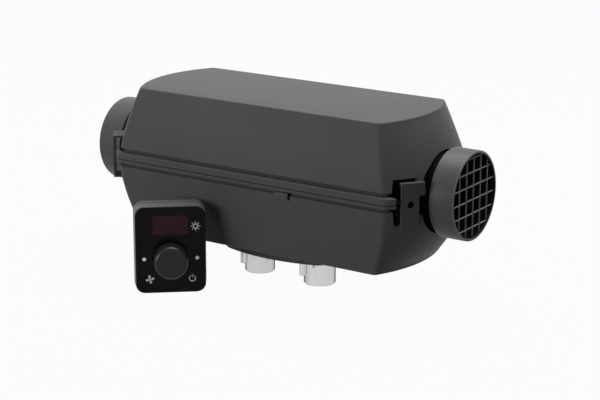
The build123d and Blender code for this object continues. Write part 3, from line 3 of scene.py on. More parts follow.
import bmesh
import bpy
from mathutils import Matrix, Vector


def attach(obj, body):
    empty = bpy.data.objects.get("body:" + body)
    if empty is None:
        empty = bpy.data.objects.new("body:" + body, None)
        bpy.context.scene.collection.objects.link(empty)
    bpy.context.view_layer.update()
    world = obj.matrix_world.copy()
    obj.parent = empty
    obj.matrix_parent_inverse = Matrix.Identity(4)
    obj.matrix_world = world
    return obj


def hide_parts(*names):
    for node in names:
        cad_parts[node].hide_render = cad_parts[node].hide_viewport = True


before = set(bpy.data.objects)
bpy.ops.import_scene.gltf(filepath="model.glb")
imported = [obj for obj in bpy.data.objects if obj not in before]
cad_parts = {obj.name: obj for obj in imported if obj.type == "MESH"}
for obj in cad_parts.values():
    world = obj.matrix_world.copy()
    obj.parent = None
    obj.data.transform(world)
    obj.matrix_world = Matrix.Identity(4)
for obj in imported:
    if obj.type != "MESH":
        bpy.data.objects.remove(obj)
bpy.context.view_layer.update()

MM = 0.001
FULL_TURN = 2 * math.pi

# Sizes and places below are in mm, in the CAD's frame. MM takes them to Blender's metres.
AXIS_HEIGHT = 76.0          # air axis above the mounting face
FLOOR_LEVEL = -24.7         # lower ends of the pipe stubs
ENDS = ((1, "inlet"), (-1, "outlet"))
ROWS = ((-1, "front"), (1, "rear"))

# ---- camera -------------------------------------------------------------------------------
# Fitted to the photo: the way from the air axis to the camera, the lens and its shift.
CAMERA_BACK = Vector((0.54041, -0.80281, 0.25190))
CAMERA_DISTANCE = 1516.18
CAMERA_LENS = 104.97
CAMERA_SHIFT = (0.01678, -0.05878)

bpy.ops.object.select_all(action="DESELECT")
bpy.ops.object.camera_add(location=(CAMERA_BACK * CAMERA_DISTANCE
                                    + Vector((0, 0, AXIS_HEIGHT))) * MM)
camera = bpy.context.object
camera.rotation_euler = (-CAMERA_BACK).to_track_quat("-Z", "Y").to_euler()
camera.data.lens = CAMERA_LENS
camera.data.shift_x, camera.data.shift_y = CAMERA_SHIFT
bpy.context.scene.camera = camera
bpy.context.scene.view_settings.view_transform = "Standard"


# ---- modelling tools ----------------------------------------------------------------------
def let_go():
    """Nothing is selected afterwards, neither CAD nodes nor earlier pieces."""
    bpy.ops.object.select_all(action="DESELECT")


def take(piece):
    """Select one piece alone and make it the active one."""
    let_go()
    piece.select_set(True)
    bpy.context.view_layer.objects.active = piece


def open_mesh(piece, everything=False):
    """Edit mode on one piece, with all of it or none of it selected."""
    take(piece)
    bpy.ops.object.mode_set(mode="EDIT")
    bpy.ops.mesh.select_all(action="SELECT" if everything else "DESELECT")


def close_mesh():
    """Back from edit mode."""
    bpy.ops.object.mode_set(mode="OBJECT")


def select_all_mesh():
    """Select all of the mesh that is open."""
    bpy.ops.mesh.select_all(action="SELECT")


def pick_edges(test):
    """Select only the edges whose two ends pass the test."""
    mesh = bmesh.from_edit_mesh(bpy.context.object.data)
    bpy.ops.mesh.select_mode(type="EDGE")
    for edge in mesh.edges:
        ends = [vertex.co / MM for vertex in edge.verts]
        edge.select_set(bool(test(*ends)))
    bmesh.update_edit_mesh(bpy.context.object.data)


def pick_vertices(test):
    """Select only the vertices whose place passes the test."""
    mesh = bmesh.from_edit_mesh(bpy.context.object.data)
    bpy.ops.mesh.select_mode(type="VERT")
    for vertex in mesh.verts:
        vertex.select_set(bool(test(vertex.co / MM)))
    mesh.select_flush_mode()
    bmesh.update_edit_mesh(bpy.context.object.data)


def join(name, parts):
    """Make one piece of several, under a new name."""
    let_go()
    for part in parts:
        part.select_set(True)
    bpy.context.view_layer.objects.active = parts[0]
    bpy.ops.object.join()
    piece = bpy.context.object
    piece.name = name
    return piece


def fix_place():
    """Put the active object's place, turn and size into its mesh."""
    bpy.ops.object.transform_apply(location=True, rotation=True, scale=True)


def first_vertex(name, point):
    """A new piece of one vertex, made from a small plane, left in edit mode."""
    let_go()
    bpy.ops.mesh.primitive_plane_add(size=MM, location=Vector(point) * MM)
    piece = bpy.context.object
    piece.name = name
    fix_place()
    open_mesh(piece, everything=True)
    bpy.ops.mesh.select_mode(type="VERT")
    bpy.ops.mesh.merge(type="CENTER")
    return piece


def block(name, middle, size):
    """A box about its middle, as a start for a piece."""
    let_go()
    bpy.ops.mesh.primitive_cube_add(size=MM, location=Vector(middle) * MM, scale=size)
    piece = bpy.context.object
    piece.name = name
    fix_place()
    return piece


def rod(name, start, end, radius, sides):
    """A straight round bar between two points, as a start for a piece or a cutter."""
    start, end = Vector(start), Vector(end)
    let_go()
    bpy.ops.mesh.primitive_cylinder_add(
        vertices=sides, radius=radius * MM, depth=(end - start).length * MM,
        location=(start + end) / 2 * MM, rotation=(end - start).to_track_quat("Z", "Y").to_euler())
    piece = bpy.context.object
    piece.name = name
    fix_place()
    return piece


def merge_doubles():
    """Weld vertices that lie on each other."""
    select_all_mesh()
    bpy.ops.mesh.remove_doubles(threshold=1e-6)


def finish_mesh(piece, angle=30.0):
    """Close doubles, point the faces outwards and shade smooth up to an angle."""
    open_mesh(piece)
    merge_doubles()
    select_all_mesh()
    bpy.ops.mesh.normals_make_consistent(inside=False)
    close_mesh()
    smooth(piece, angle)
    return piece


def smooth(piece, angle=30.0):
    """Shade smooth over edges that turn by less than an angle."""
    take(piece)
    bpy.ops.object.shade_smooth_by_angle(angle=math.radians(angle))


def apply_modifier(piece, kind, **settings):
    """Add a modifier, set it and apply it."""
    take(piece)
    modifier = piece.modifiers.new(kind.title(), kind)
    for name, value in settings.items():
        setattr(modifier, name, value)
    bpy.ops.object.modifier_apply(modifier=modifier.name)


def soften(piece, width, segments=2, angle=35.0):
    """Round the edges that turn by more than an angle."""
    apply_modifier(piece, "BEVEL", width=width * MM, segments=segments,
                   limit_method="ANGLE", angle_limit=math.radians(angle))


def combine(piece, operation, *others):
    """Cut other shapes out of the piece or weld them to it, and drop them."""
    for other in others:
        apply_modifier(piece, "BOOLEAN", operation=operation, object=other, solver="MANIFOLD")
        bpy.data.objects.remove(other)


def drawn_line(name, points):
    """A line through points, by extruding a first vertex, left selected in edit mode."""
    line = first_vertex(name, points[0])
    for here, there in zip(points, points[1:]):
        bpy.ops.mesh.extrude_vertices_move(
            TRANSFORM_OT_translate={"value": (there - here) * MM})
    select_all_mesh()
    return line


def turned(name, profile, centre, axis, steps=96):
    """A piece turned on an axis through centre: profile gives (along, radius) points."""
    centre, axis = Vector(centre), Vector(axis).normalized()
    out = axis.orthogonal().normalized()
    points = [centre + axis * along + out * radius for along, radius in profile]
    piece = drawn_line(name, points)
    bpy.ops.mesh.spin(steps=steps, angle=FULL_TURN, center=centre * MM, axis=axis)
    close_mesh()
    return finish_mesh(piece)


def cut_plate(name, outline, out, thickness):
    """A flat plate: an outline of points, filled and drawn out along a direction."""
    plate = drawn_line(name, [Vector(point) for point in outline])
    bpy.ops.mesh.edge_face_add()
    bpy.ops.mesh.extrude_region_move(
        TRANSFORM_OT_translate={"value": Vector(out) * (thickness * MM)})
    close_mesh()
    return finish_mesh(plate)


# ---- finishes -----------------------------------------------------------------------------
FIXED_SOCKETS = {"colour": "Base Color", "metallic": "Metallic", "roughness": "Roughness",
                 "gloss": "Specular IOR Level", "edge": "Specular Tint",
                 "glow": "Emission Strength"}
MIX_SHARE, MIX_FIRST, MIX_SECOND, MIX_RESULT = 0, 6, 7, 2      # a Mix node's colour sockets
EDGE_HIGHLIGHT_RADIUS = 0.8           # how far from an edge the painted highlight reaches


class Amount:
    """A shader value that can be used in sums; each sum adds its Math node."""

    def __init__(self, tree, socket):
        self.tree = tree
        self.socket = socket

    def _math(self, operation, *values):
        """Add a Math node on values, numbers or amounts."""
        return self.tree.node("ShaderNodeMath", {"operation": operation}, dict(enumerate(values)))

    def __abs__(self):
        return self._math("ABSOLUTE", self)

    def __add__(self, other):
        return self._math("ADD", self, other)

    def __radd__(self, other):
        return self._math("ADD", other, self)

    def __sub__(self, other):
        return self._math("SUBTRACT", self, other)

    def __rsub__(self, other):
        return self._math("SUBTRACT", other, self)

    def __mul__(self, other):
        return self._math("MULTIPLY", self, other)

    def __rmul__(self, other):
        return self._math("MULTIPLY", other, self)


class NodeTree:
    """A material's or world's nodes, each added by one method."""

    def __init__(self, tree):
        self.nodes, self.links = tree.nodes, tree.links

    def node(self, kind, settings, sockets, output=0):
        """Add a node: its settings first, then values or links for its sockets."""
        made = self.nodes.new(kind)
        for name, value in settings.items():
            setattr(made, name, value)
        for name, value in sockets.items():
            if isinstance(value, Amount):
                self.links.new(value.socket, made.inputs[name])
            else:
                made.inputs[name].default_value = value
        return Amount(self, made.outputs[output])

    def background_rays(self):
        """1 on rays that show the background: from the camera, by gloss or through glass."""
        seen = 0.0
        for ray in ("Is Camera Ray", "Is Glossy Ray", "Is Transmission Ray"):
            kind = self.node("ShaderNodeLightPath", {}, {}, output=ray)
            seen = self.node("ShaderNodeMath", {"operation": "MAXIMUM"}, {0: seen, 1: kind})
        return seen


class Finish(NodeTree):
    """One procedural surface and the nodes that make it."""

    def __init__(self, name, **fixed):
        self.material = bpy.data.materials.new(name)
        self.material.use_nodes = True
        super().__init__(self.material.node_tree)
        self.shader = self.nodes["Principled BSDF"]
        for name, value in fixed.items():
            self.shader.inputs[FIXED_SOCKETS[name]].default_value = value
        self.place = self.node("ShaderNodeTexCoord", {}, {}, output="Object")

    def noise(self, scale, detail, roughness=0.5, place=None):
        """Noise from 0 to 1 on the place on the object, or on another place."""
        return self.node("ShaderNodeTexNoise", {}, {
            "Vector": place or self.place, "Scale": scale, "Detail": detail,
            "Roughness": roughness})

    def stretched(self, x, y, z):
        """The place on the object, scaled by its own share along each axis."""
        return self.node("ShaderNodeMapping", {}, {"Vector": self.place, "Scale": (x, y, z)})

    def place_along(self, axis):
        """The place on the object along X, Y or Z, in metres."""
        return self.node("ShaderNodeSeparateXYZ", {}, {"Vector": self.place}, output=axis)

    def between(self, value, low, high):
        """0 at low, 1 at high and a soft step from one to the other."""
        return self.node("ShaderNodeMapRange", {"interpolation_type": "SMOOTHSTEP"},
                         {"Value": value, "From Min": low, "From Max": high})

    def mixed(self, share, first, second):
        """First colour turned to the second by a share."""
        return self.node("ShaderNodeMix", {"data_type": "RGBA"},
                         {MIX_SHARE: share, MIX_FIRST: first, MIX_SECOND: second}, MIX_RESULT)

    def give(self, socket, value):
        """Feed a value into a socket of the surface."""
        self.links.new(value.socket, self.shader.inputs[socket])

    def relief(self, height, depth):
        """Fine surface relief, depth in mm."""
        self.give("Normal", self.node("ShaderNodeBump", {}, {
            "Height": height, "Distance": depth * MM, "Strength": 1.0}, output="Normal"))


def grey(level, warm=0.0):
    """A grey, warm as a share more red and less blue."""
    return (level * (1 + warm), level, level * (1 - warm), 1.0)


def edge_highlight(finish):
    """Where an edge stands out of its surface, from 0 to 1: the mask of a painted edge highlight.
    """
    round_normal = finish.node("ShaderNodeBevel", {"samples": 4}, {"Radius": EDGE_HIGHLIGHT_RADIUS * MM})
    normal = finish.node("ShaderNodeNewGeometry", {}, {}, output="Normal")
    same = finish.node("ShaderNodeVectorMath", {"operation": "DOT_PRODUCT"},
                       {0: round_normal, 1: normal}, output="Value")
    return finish.between(same, 0.995, 0.9)


def moulded(name, level, roughness, grain=0.9, relief=0.02, gloss=0.09, painted_highlight=0.0):
    """Moulded plastic: fine spark-eroded grain, slight clouding of colour and gloss, and if asked
    a painted highlight that makes the edges paler.
    """
    finish = Finish(name, gloss=gloss)
    cloud = finish.noise(14.0, 3.0)
    speck = finish.noise(1000.0 / grain, 3.0, 0.6)
    tone = finish.mixed(finish.between(cloud, 0.3, 0.7), grey(level * 0.93), grey(level * 1.07))
    tone = finish.mixed(finish.between(speck, 0.25, 0.75) * 0.35, tone, grey(level * 0.75))
    # painted highlight: the edges turn paler by the given share
    if painted_highlight:
        tone = finish.mixed(edge_highlight(finish) * painted_highlight, tone, grey(level * 2.6))
    finish.give("Base Color", tone)
    finish.give("Roughness", roughness + (cloud - 0.5) * 0.12 + (speck - 0.5) * 0.1)
    finish.relief(speck, relief)
    return finish.material


def rubber(name, level):
    """Dull rubber, a little paler where dust lies on it."""
    finish = Finish(name)
    dust = finish.noise(120.0, 4.0, 0.65)
    fine = finish.noise(900.0, 2.0)
    finish.give("Base Color", finish.mixed(finish.between(dust, 0.35, 0.75), grey(level),
                                           grey(level * 1.9, 0.02)))
    finish.give("Roughness", 0.68 + dust * 0.25)
    finish.relief(fine + dust * 2.0, 0.05)
    return finish.material


def brushed(name, level, roughness, stretch, edge=grey(1.0)):
    """Drawn or brushed metal: fine streaks along one direction, stretch as x, y, z."""
    finish = Finish(name, metallic=1.0, edge=edge)
    streak = finish.noise(1.0, 4.0, 0.6, finish.stretched(*stretch))
    cloud = finish.noise(45.0, 2.0)
    finish.give("Base Color", finish.mixed(finish.between(streak, 0.2, 0.8), grey(level * 0.86),
                                           grey(level * 1.05)))
    finish.give("Roughness", roughness + (streak - 0.5) * 0.14 + (cloud - 0.5) * 0.1)
    finish.relief(streak, 0.006)
    return finish.material


def cast(name, level, roughness=0.55):
    """Die-cast metal: pebbled skin, darker in the low spots."""
    finish = Finish(name, metallic=0.9)
    pebble = finish.noise(700.0, 3.0, 0.6)
    flow = finish.noise(40.0, 3.0, 0.6)
    finish.give("Base Color", finish.mixed(finish.between(pebble, 0.3, 0.7), grey(level * 0.8),
                                           grey(level)))
    finish.give("Roughness", roughness + (flow - 0.5) * 0.2 + (pebble - 0.5) * 0.15)
    finish.relief(pebble + flow, 0.06)
    return finish.material


def tinted(name, cool, hot, roughness=0.4, metallic=1.0):
    """Metal or sheet whose colour drifts between two tints."""
    finish = Finish(name, metallic=metallic)
    drift = finish.noise(60.0, 4.0, 0.6)
    fine = finish.noise(1200.0, 2.0)
    finish.give("Base Color", finish.mixed(finish.between(drift, 0.3, 0.7), cool, hot))
    finish.give("Roughness", roughness + (drift - 0.5) * 0.25)
    finish.relief(fine + drift, 0.02)
    return finish.material


def gloss_face(name):
    """Gloss black moulded face: faint ripple and rub marks under a smooth skin."""
    finish = Finish(name, gloss=0.07)
    ripple = finish.noise(60.0, 2.0)
    rub = finish.noise(1.0, 3.0, 0.6, finish.stretched(90.0, 90.0, 900.0))
    finish.give("Base Color", finish.mixed(finish.between(ripple, 0.3, 0.7), grey(0.002),
                                           grey(0.004)))
    finish.give("Roughness", 0.2 + finish.between(rub, 0.45, 0.9) * 0.16)
    finish.relief(ripple, 0.01)
    return finish.material


def display_glass(name):
    """Dark red display filter with a faint grid of the segments behind it."""
    finish = Finish(name, gloss=0.07)
    cloud = finish.noise(55.0, 2.0)
    grid = finish.noise(1.0, 1.0, 0.5, finish.stretched(800.0, 800.0, 60.0))
    finish.give("Base Color", finish.mixed(finish.between(cloud, 0.35, 0.65),
                                           (0.030, 0.010, 0.013, 1), (0.040, 0.014, 0.018, 1)))
    finish.give("Roughness", 0.25 + grid * 0.12)
    finish.relief(grid, 0.004)
    return finish.material


def lamp_lens(name):
    """Frosted white lens of an indicator lamp, faintly lit."""
    finish = Finish(name, roughness=0.25, glow=0.12)
    frost = finish.noise(1500.0, 2.0)
    finish.give("Base Color", finish.mixed(frost, grey(0.55), grey(0.8)))
    finish.give("Emission Color", finish.mixed(frost, grey(0.7), grey(0.9)))
    finish.relief(frost, 0.02)
    return finish.material


def ink(name):
    """Pad-printed white ink, a little uneven."""
    finish = Finish(name)
    patch = finish.noise(1800.0, 3.0, 0.6)
    finish.give("Base Color", finish.mixed(finish.between(patch, 0.3, 0.7), grey(0.5),
                                           grey(0.66)))
    finish.give("Roughness", 0.42 + patch * 0.2)
    return finish.material


def board_finish(name):
    """Green lacquered board with copper tracks showing through."""
    finish = Finish(name)
    tracks = finish.node("ShaderNodeTexVoronoi", {"distance": "MANHATTAN"},
                         {"Vector": finish.place, "Scale": 260.0}, output="Distance")
    finish.give("Base Color", finish.mixed(finish.between(tracks, 0.35, 0.5),
                                           (0.01, 0.09, 0.035, 1), (0.03, 0.16, 0.06, 1)))
    finish.give("Roughness", 0.3 + tracks * 0.2)
    finish.relief(tracks, 0.03)
    return finish.material


def woven_screen(name):
    """Fine woven wire screen."""
    finish = Finish(name, metallic=1.0, roughness=0.4)
    weave = finish.node("ShaderNodeTexWave", {"bands_direction": "Z"},
                        {"Vector": finish.place, "Scale": 800.0, "Distortion": 0.4})
    finish.give("Base Color", finish.mixed(weave, grey(0.2, 0.02), grey(0.6, 0.02)))
    finish.relief(weave, 0.1)
    return finish.material


FINISHES = {
    "shell_plastic": moulded("shell_grey", 0.064, 0.5, relief=0.025),
    "ring_plastic": moulded("ring_grey", 0.062, 0.42, grain=1.2, relief=0.012),
    "grille_plastic": moulded("grille_grey", 0.24, 0.42, relief=0.008),
    # the clips' edges get a painted highlight
    "clip_plastic": moulded("clip_grey", 0.05, 0.45, grain=1.2, relief=0.012, painted_highlight=0.35),
    "screw_steel": brushed("dark_zinc", 0.05, 0.4, (900, 900, 900), edge=grey(0.02)),
    "gasket_rubber": rubber("gasket_black", 0.012),
    "stud_steel": brushed("stud_zinc", 0.6, 0.25, (600, 600, 3000), edge=grey(0.02)),
    "pipe_aluminium": brushed("pipe_bright", 0.62, 0.2, (120, 120, 30), edge=grey(0.0)),
    "fuel_steel": brushed("fuel_pipe_steel", 0.6, 0.25, (700, 700, 30)),
    "cast_aluminium": cast("exchanger_cast", 0.45),
    "burner_gasket_sheet": tinted("graphite_sheet", grey(0.05), grey(0.1), 0.6, 0.2),
    "burner_steel": tinted("burner_heat_tint", (0.42, 0.36, 0.3, 1), (0.25, 0.27, 0.36, 1)),
    "glow_plug_steel": brushed("plug_steel", 0.5, 0.3, (800, 800, 100)),
    "screen_mesh": woven_screen("plug_screen"),
    "sensor_steel": brushed("sensor_cap", 0.55, 0.3, (500, 500, 500)),
    "blower_aluminium": cast("blower_cast", 0.5, 0.5),
    "motor_steel": brushed("motor_can_steel", 0.42, 0.32, (30, 700, 700)),
    "bearing_steel": brushed("bearing_ground", 0.7, 0.18, (60, 1500, 1500)),
    "magnet_ferrite": tinted("ferrite", grey(0.03), grey(0.06), 0.7, 0.3),
    "armature_iron": brushed("armature_stack", 0.3, 0.4, (3000, 60, 60)),
    "impeller_aluminium": cast("impeller_cast", 0.6, 0.4),
    "fan_plastic": moulded("fan_black", 0.014, 0.42),
    "unit_plastic": moulded("unit_black", 0.018, 0.5),
    "circuit_board": board_finish("board_green"),
    "grommet_rubber": rubber("grommet_black", 0.01),
    "panel_plastic": moulded("panel_grey", 0.085, 0.42, grain=1.2, relief=0.008),
    "display_glass": display_glass("display_filter"),
    "lamp_lens": lamp_lens("lamp_white"),
    "display_body": moulded("display_shell", 0.03, 0.4),
    "knob_plastic": moulded("knob_black", 0.012, 0.3, grain=1.2, relief=0.004, gloss=0.22),
    "encoder_metal": brushed("encoder_steel", 0.5, 0.3, (900, 900, 900)),
    "switch_plastic": moulded("switch_black", 0.03, 0.4),
}
# Near black finish for painted shade: pieces that stand in for the dark in gaps, behind openings
# and round the ring necks.
SHADE_BLACK_FINISH = moulded("painted_shade_black", 0.004, 0.8, relief=0.01, gloss=0.01)
FACE_FINISH = gloss_face("face_gloss")
ICON_FINISH = ink("icon_ink")


def dress(piece, finish):
    """Show one finish all over a piece."""
    piece.data.materials.clear()
    piece.data.materials.append(finish)


def seat(piece, slot, *nodes, body="heater", finish=None):
    """Dress a new piece as its slot or a finish says, attach it to its body and hide the nodes it
    stands for.
    """
    dress(piece, finish or FINISHES[slot])
    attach(piece, body)
    if nodes:
        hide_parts(*nodes)


# Every CAD node gets its slot's finish, also where a piece stands for it or hides it.
NODE_SLOTS = {
    "shell_plastic": ["upper_shell", "lower_shell"],
    "ring_plastic": ["inlet_ring", "outlet_ring"],
    "grille_plastic": ["inlet_grille"],
    "clip_plastic": ["seam_clip_front_inlet", "seam_clip_rear_inlet",
                     "seam_clip_front_outlet", "seam_clip_rear_outlet"],
    "screw_steel": ["clip_screws", "blower_bolts"],
    "gasket_rubber": ["base_gasket"],
    "stud_steel": ["mounting_studs"],
    "pipe_aluminium": ["exhaust_pipe", "intake_pipe"],
    "fuel_steel": ["fuel_pipe"],
    "cast_aluminium": ["heat_exchanger"],
    "burner_gasket_sheet": ["burner_gasket"],
    "burner_steel": ["combustion_chamber"],
    "glow_plug_steel": ["glow_plug"],
    "screen_mesh": ["glow_plug_screen"],
    "sensor_steel": ["overheat_sensor", "sensor_clip"],
    "blower_aluminium": ["blower_housing", "blower_cover"],
    "motor_steel": ["motor_can", "motor_end_cap"],
    "bearing_steel": ["bearing_burner_side", "bearing_fan_side", "motor_shaft"],
    "magnet_ferrite": ["stator_magnets", "fan_magnet"],
    "armature_iron": ["armature"],
    "impeller_aluminium": ["combustion_impeller"],
    "fan_plastic": ["heating_fan"],
    "unit_plastic": ["control_unit_case"],
    "circuit_board": ["control_unit_board", "panel_board"],
    "grommet_rubber": ["harness_grommet"],
    "panel_plastic": ["panel_frame", "panel_back", "panel_face"],
    "display_glass": ["display_window"],
    "lamp_lens": ["indicator_lens_left", "indicator_lens_right"],
    "display_body": ["display_module"],
    "knob_plastic": ["control_knob"],
    "encoder_metal": ["encoder_body", "encoder_stem"],
    "switch_plastic": ["switch_plunger", "cable_socket"],
}
for slot_name, node_names in NODE_SLOTS.items():
    for node_name in node_names:
        dress(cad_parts[node_name], FINISHES[slot_name])


# ---- shells -------------------------------------------------------------------------------
SEAM_HALF_LENGTH = 134.9
SEAM_HALF_WIDTH = 66.5
SEAM_BOW = 32.0             # how far the rounded ends stand out at the seam
SIDE_BULGE = 2.5
SHELL_WALL = 2.4
CORNER_SETBACK = 2.1
END_STEPS, SIDE_STEPS, MOUTH_SIDES = 28, 24, 128
SAME_PLACE, SAME_LEVEL = 0.01, 0.004        # what is nearer than this counts as the same

# Heights from the seam or from the band's far side, each with how far it stands proud.
BAND_PROUD = 1.3
BAND_START = ((0.12, -1.2), (0.15, BAND_PROUD - 0.5), (0.6, BAND_PROUD))
BAND_STOP = ((-0.9, BAND_PROUD), (-0.3, BAND_PROUD - 0.35), (0.0, BAND_PROUD - 1.0))
# The far edge as shares of its size: down from the top or bottom, and inwards.
EDGE_ROUND = ((1.0, 0.0), (0.62, 0.1), (0.28, 0.34), (0.06, 0.72), (0.0, 1.15))
GROOVE_DEPTH = 2.2

# Groove steps are shares of the groove's height and depth. Slopes, bow and bulge shape the wall.
ROOF = {"up": 1, "rise": 63.3, "end_slope": 14.0, "side_slope": 12.5, "bow": 15.7, "bulge": 0.9,
        "band": 6.2, "groove": 3.6, "edge": 1.3, "notch_half_height": 32.5,
        "groove_steps": ((0.1, 1.0), (0.45, 0.8), (0.8, 0.35), (1.0, 0.0)),
        "wall_levels": (18, 26, 34, 42, 50, 56.5, 60)}
BELLY = {"up": -1, "rise": -64.0, "end_slope": 14.7, "side_slope": 11.2, "bow": 13.0, "bulge": 3.0,
         "band": 3.3, "groove": 3.0, "edge": 1.6, "notch_half_height": 34.5,
         "groove_steps": ((0.25, 0.9), (0.5, 1.0), (0.75, 0.6), (1.0, 0.0)),
         "wall_levels": (12, 20, 28, 36, 44, 52, 58)}

MOUTH_START, MOUTH_STOP = 100.0, 190.0      # a cutter's ends, inside and outside the end wall
MOUTH_HALF_WIDTH, MOUTH_HALF_HEIGHT = 37.6, 34.8
NOTCH_HALF_WIDTH = 42.0
SLOT_START, SLOT_DEPTH = 128.0, 45.0
SLOT_LOW, SLOT_RISE, SLOT_STEPS = -18.5, 38.3, 12
SLOT_INNER, SLOT_REACH, SLOT_CURVE = 40.0, 61.6, 53.0

SKIRT_HALF_LENGTH, SKIRT_HALF_WIDTH = 50.0, 27.5
SKIRT_END_BOW, SKIRT_SIDE_BOW, SKIRT_CORNER = 6.0, 9.0, 7.0
SKIRT_WALL = 1.8
SKIRT_ROWS = {12.6: 2.6, 12.0: 2.1, 11.2: 1.3, 9.8: 0.5, 8.0: 0.1, 5.0: 0.0}   # level: outset

TAB_MIDDLE, TAB_SIZE = (36.4, -66.1, AXIS_HEIGHT - 7.0), (12.8, 2.6, 6.2)
TAB_GAP_MIDDLE, TAB_GAP_SIZE = (43.5, -66.1, AXIS_HEIGHT - 6.8), (1.2, 1.2, 5.4)
TAB_EDGE, TAB_GAP_EDGE = 0.35, 0.2


def wall_at(form, level):
    """Half length, half width and bow of a shell's wall at a level above the seam."""
    share = level / form["rise"]
    swell = 4 * share * (1 - share)
    return (SEAM_HALF_LENGTH - form["end_slope"] * share + form["bulge"] * swell,
            SEAM_HALF_WIDTH - form["side_slope"] * share + SIDE_BULGE * swell,
            SEAM_BOW + (form["bow"] - SEAM_BOW) * share + form["bulge"] * swell)


def bowed_loop(level, half_length, half_width, bow, corner, side_bow=0.0):
    """Wire outline at a level: bowed ends, straight or bowed sides, rounded corners."""
    radius = (half_width ** 2 + bow ** 2) / (2 * bow)
    reach = math.asin(min(half_width / radius, 1.0))
    if bow > radius:
        reach = math.pi - reach
    loop = first_vertex("loop", (half_length, half_width, level))
    bpy.ops.mesh.spin(steps=END_STEPS, angle=2 * reach, axis=(0, 0, 1),
                      center=Vector((half_length + bow - radius, 0, level)) * MM)
    select_all_mesh()
    bpy.ops.mesh.duplicate()
    bpy.ops.transform.resize(value=(-1, 1, 1), center_override=(0, 0, 0))
    if side_bow > 0:
        side_radius = (half_length ** 2 + side_bow ** 2) / (2 * side_bow)
        side_reach = math.asin(half_length / side_radius)
        for side in (1, -1):
            corner_place = Vector((-side * half_length, side * half_width, level))
            pick_vertices(lambda at: (at - corner_place).length < SAME_PLACE)
            bpy.ops.mesh.spin(
                steps=SIDE_STEPS, angle=2 * side_reach, axis=(0, 0, 1),
                center=Vector((0, side * (half_width + side_bow - side_radius), level)) * MM)
    else:
        for side in (1, -1):
            pick_vertices(lambda at: abs(at.y - side * half_width) < SAME_PLACE)
            bpy.ops.mesh.edge_face_add()
    merge_doubles()
    select_all_mesh()
    bpy.ops.mesh.edge_face_add()
    pick_vertices(lambda at: abs(abs(at.x) - half_length) < SAME_PLACE
                  and abs(abs(at.y) - half_width) < SAME_PLACE)
    bpy.ops.mesh.bevel(offset=corner * MM, segments=3, affect="VERTICES")
    select_all_mesh()
    bpy.ops.mesh.delete(type="ONLY_FACE")
    close_mesh()
    return loop


def skin_over(name, loops, levels, cap_last=True):
    """Join wire outlines into one skin, from the first to the last, and cap the last."""
    skin = join(name, loops)
    open_mesh(skin)
    for below, above in zip(levels, levels[1:]):
        pick_edges(lambda a, b: abs(a.z - b.z) < SAME_LEVEL
                   and min(abs(a.z - below), abs(a.z - above)) < SAME_LEVEL)
        bpy.ops.mesh.bridge_edge_loops()
    if cap_last:
        pick_edges(lambda a, b: abs(a.z - levels[-1]) < SAME_LEVEL
                   and abs(b.z - levels[-1]) < SAME_LEVEL)
        bpy.ops.mesh.edge_face_add()
    close_mesh()
    return finish_mesh(skin)


def shell_skin(name, form):
    """Outer skin of one shell: band along the seam, groove, wall and rounded far edge."""
    band, edge, far = form["band"], form["edge"], abs(form["rise"])
    band_rows = list(BAND_START) + [(band + height, proud) for height, proud in BAND_STOP]
    wall_rows = [(band + form["groove"] * share, -GROOVE_DEPTH * deep)
                 for share, deep in form["groove_steps"]]
    wall_rows += [(level, 0.0) for level in form["wall_levels"]]
    wall_rows += [(far - edge * down, -edge * inwards) for down, inwards in EDGE_ROUND]
    loops, levels = [], []
    for height, proud in band_rows + wall_rows:
        wall_height = min(height, far - edge) if height > band else 0
        length, width, bow = wall_at(form, form["up"] * wall_height)
        levels.append(AXIS_HEIGHT + form["up"] * height)
        loops.append(bowed_loop(levels[-1], length + proud, width + proud, bow, CORNER_SETBACK))
    return skin_over(name, loops, levels)


def oval_rod(name, side, half_width, half_height):
    """Cutter through an end wall, oval round the air axis."""
    bar = rod(name, (side * MOUTH_START, 0, AXIS_HEIGHT), (side * MOUTH_STOP, 0, AXIS_HEIGHT),
              1.0, MOUTH_SIDES)
    open_mesh(bar, everything=True)
    bpy.ops.transform.resize(value=(1, half_width, half_height),
                             center_override=(0, 0, AXIS_HEIGHT * MM))
    close_mesh()
    return bar


def clip_slot(side, hand):
    """Opening behind a clip, its outer side curved to stand upright on the sloping wall."""
    levels = [SLOT_LOW + SLOT_RISE * step / SLOT_STEPS for step in range(SLOT_STEPS + 1)]
    spots = [(SLOT_REACH - SLOT_CURVE + math.sqrt(SLOT_CURVE ** 2 - level ** 2), level)
             for level in levels]
    spots += [(SLOT_INNER, levels[-1]), (SLOT_INNER, levels[0])]
    outline = [(side * SLOT_START, hand * across, AXIS_HEIGHT + level) for across, level in spots]
    return cut_plate("slot", outline, (side, 0, 0), SLOT_DEPTH)


def end_cutters(notch_half_height):
    """Cutters for the mouths round both rings and the openings behind the clips."""
    cutters = []
    for side in (1, -1):
        cutters.append(oval_rod("mouth", side, MOUTH_HALF_WIDTH, MOUTH_HALF_HEIGHT))
        cutters.append(oval_rod("notch", side, NOTCH_HALF_WIDTH, notch_half_height))
        cutters += [clip_slot(side, hand) for hand in (1, -1)]
    return cutters


def make_shell(name, form, node):
    """Half of the casing: its skin, its wall and the openings at both ends."""
    shell = shell_skin(name, form)
    apply_modifier(shell, "SOLIDIFY", thickness=SHELL_WALL * MM, offset=-1.0)
    combine(shell, "DIFFERENCE", *end_cutters(form["notch_half_height"]))
    finish_mesh(shell, 28.0)
    seat(shell, "shell_plastic", node)


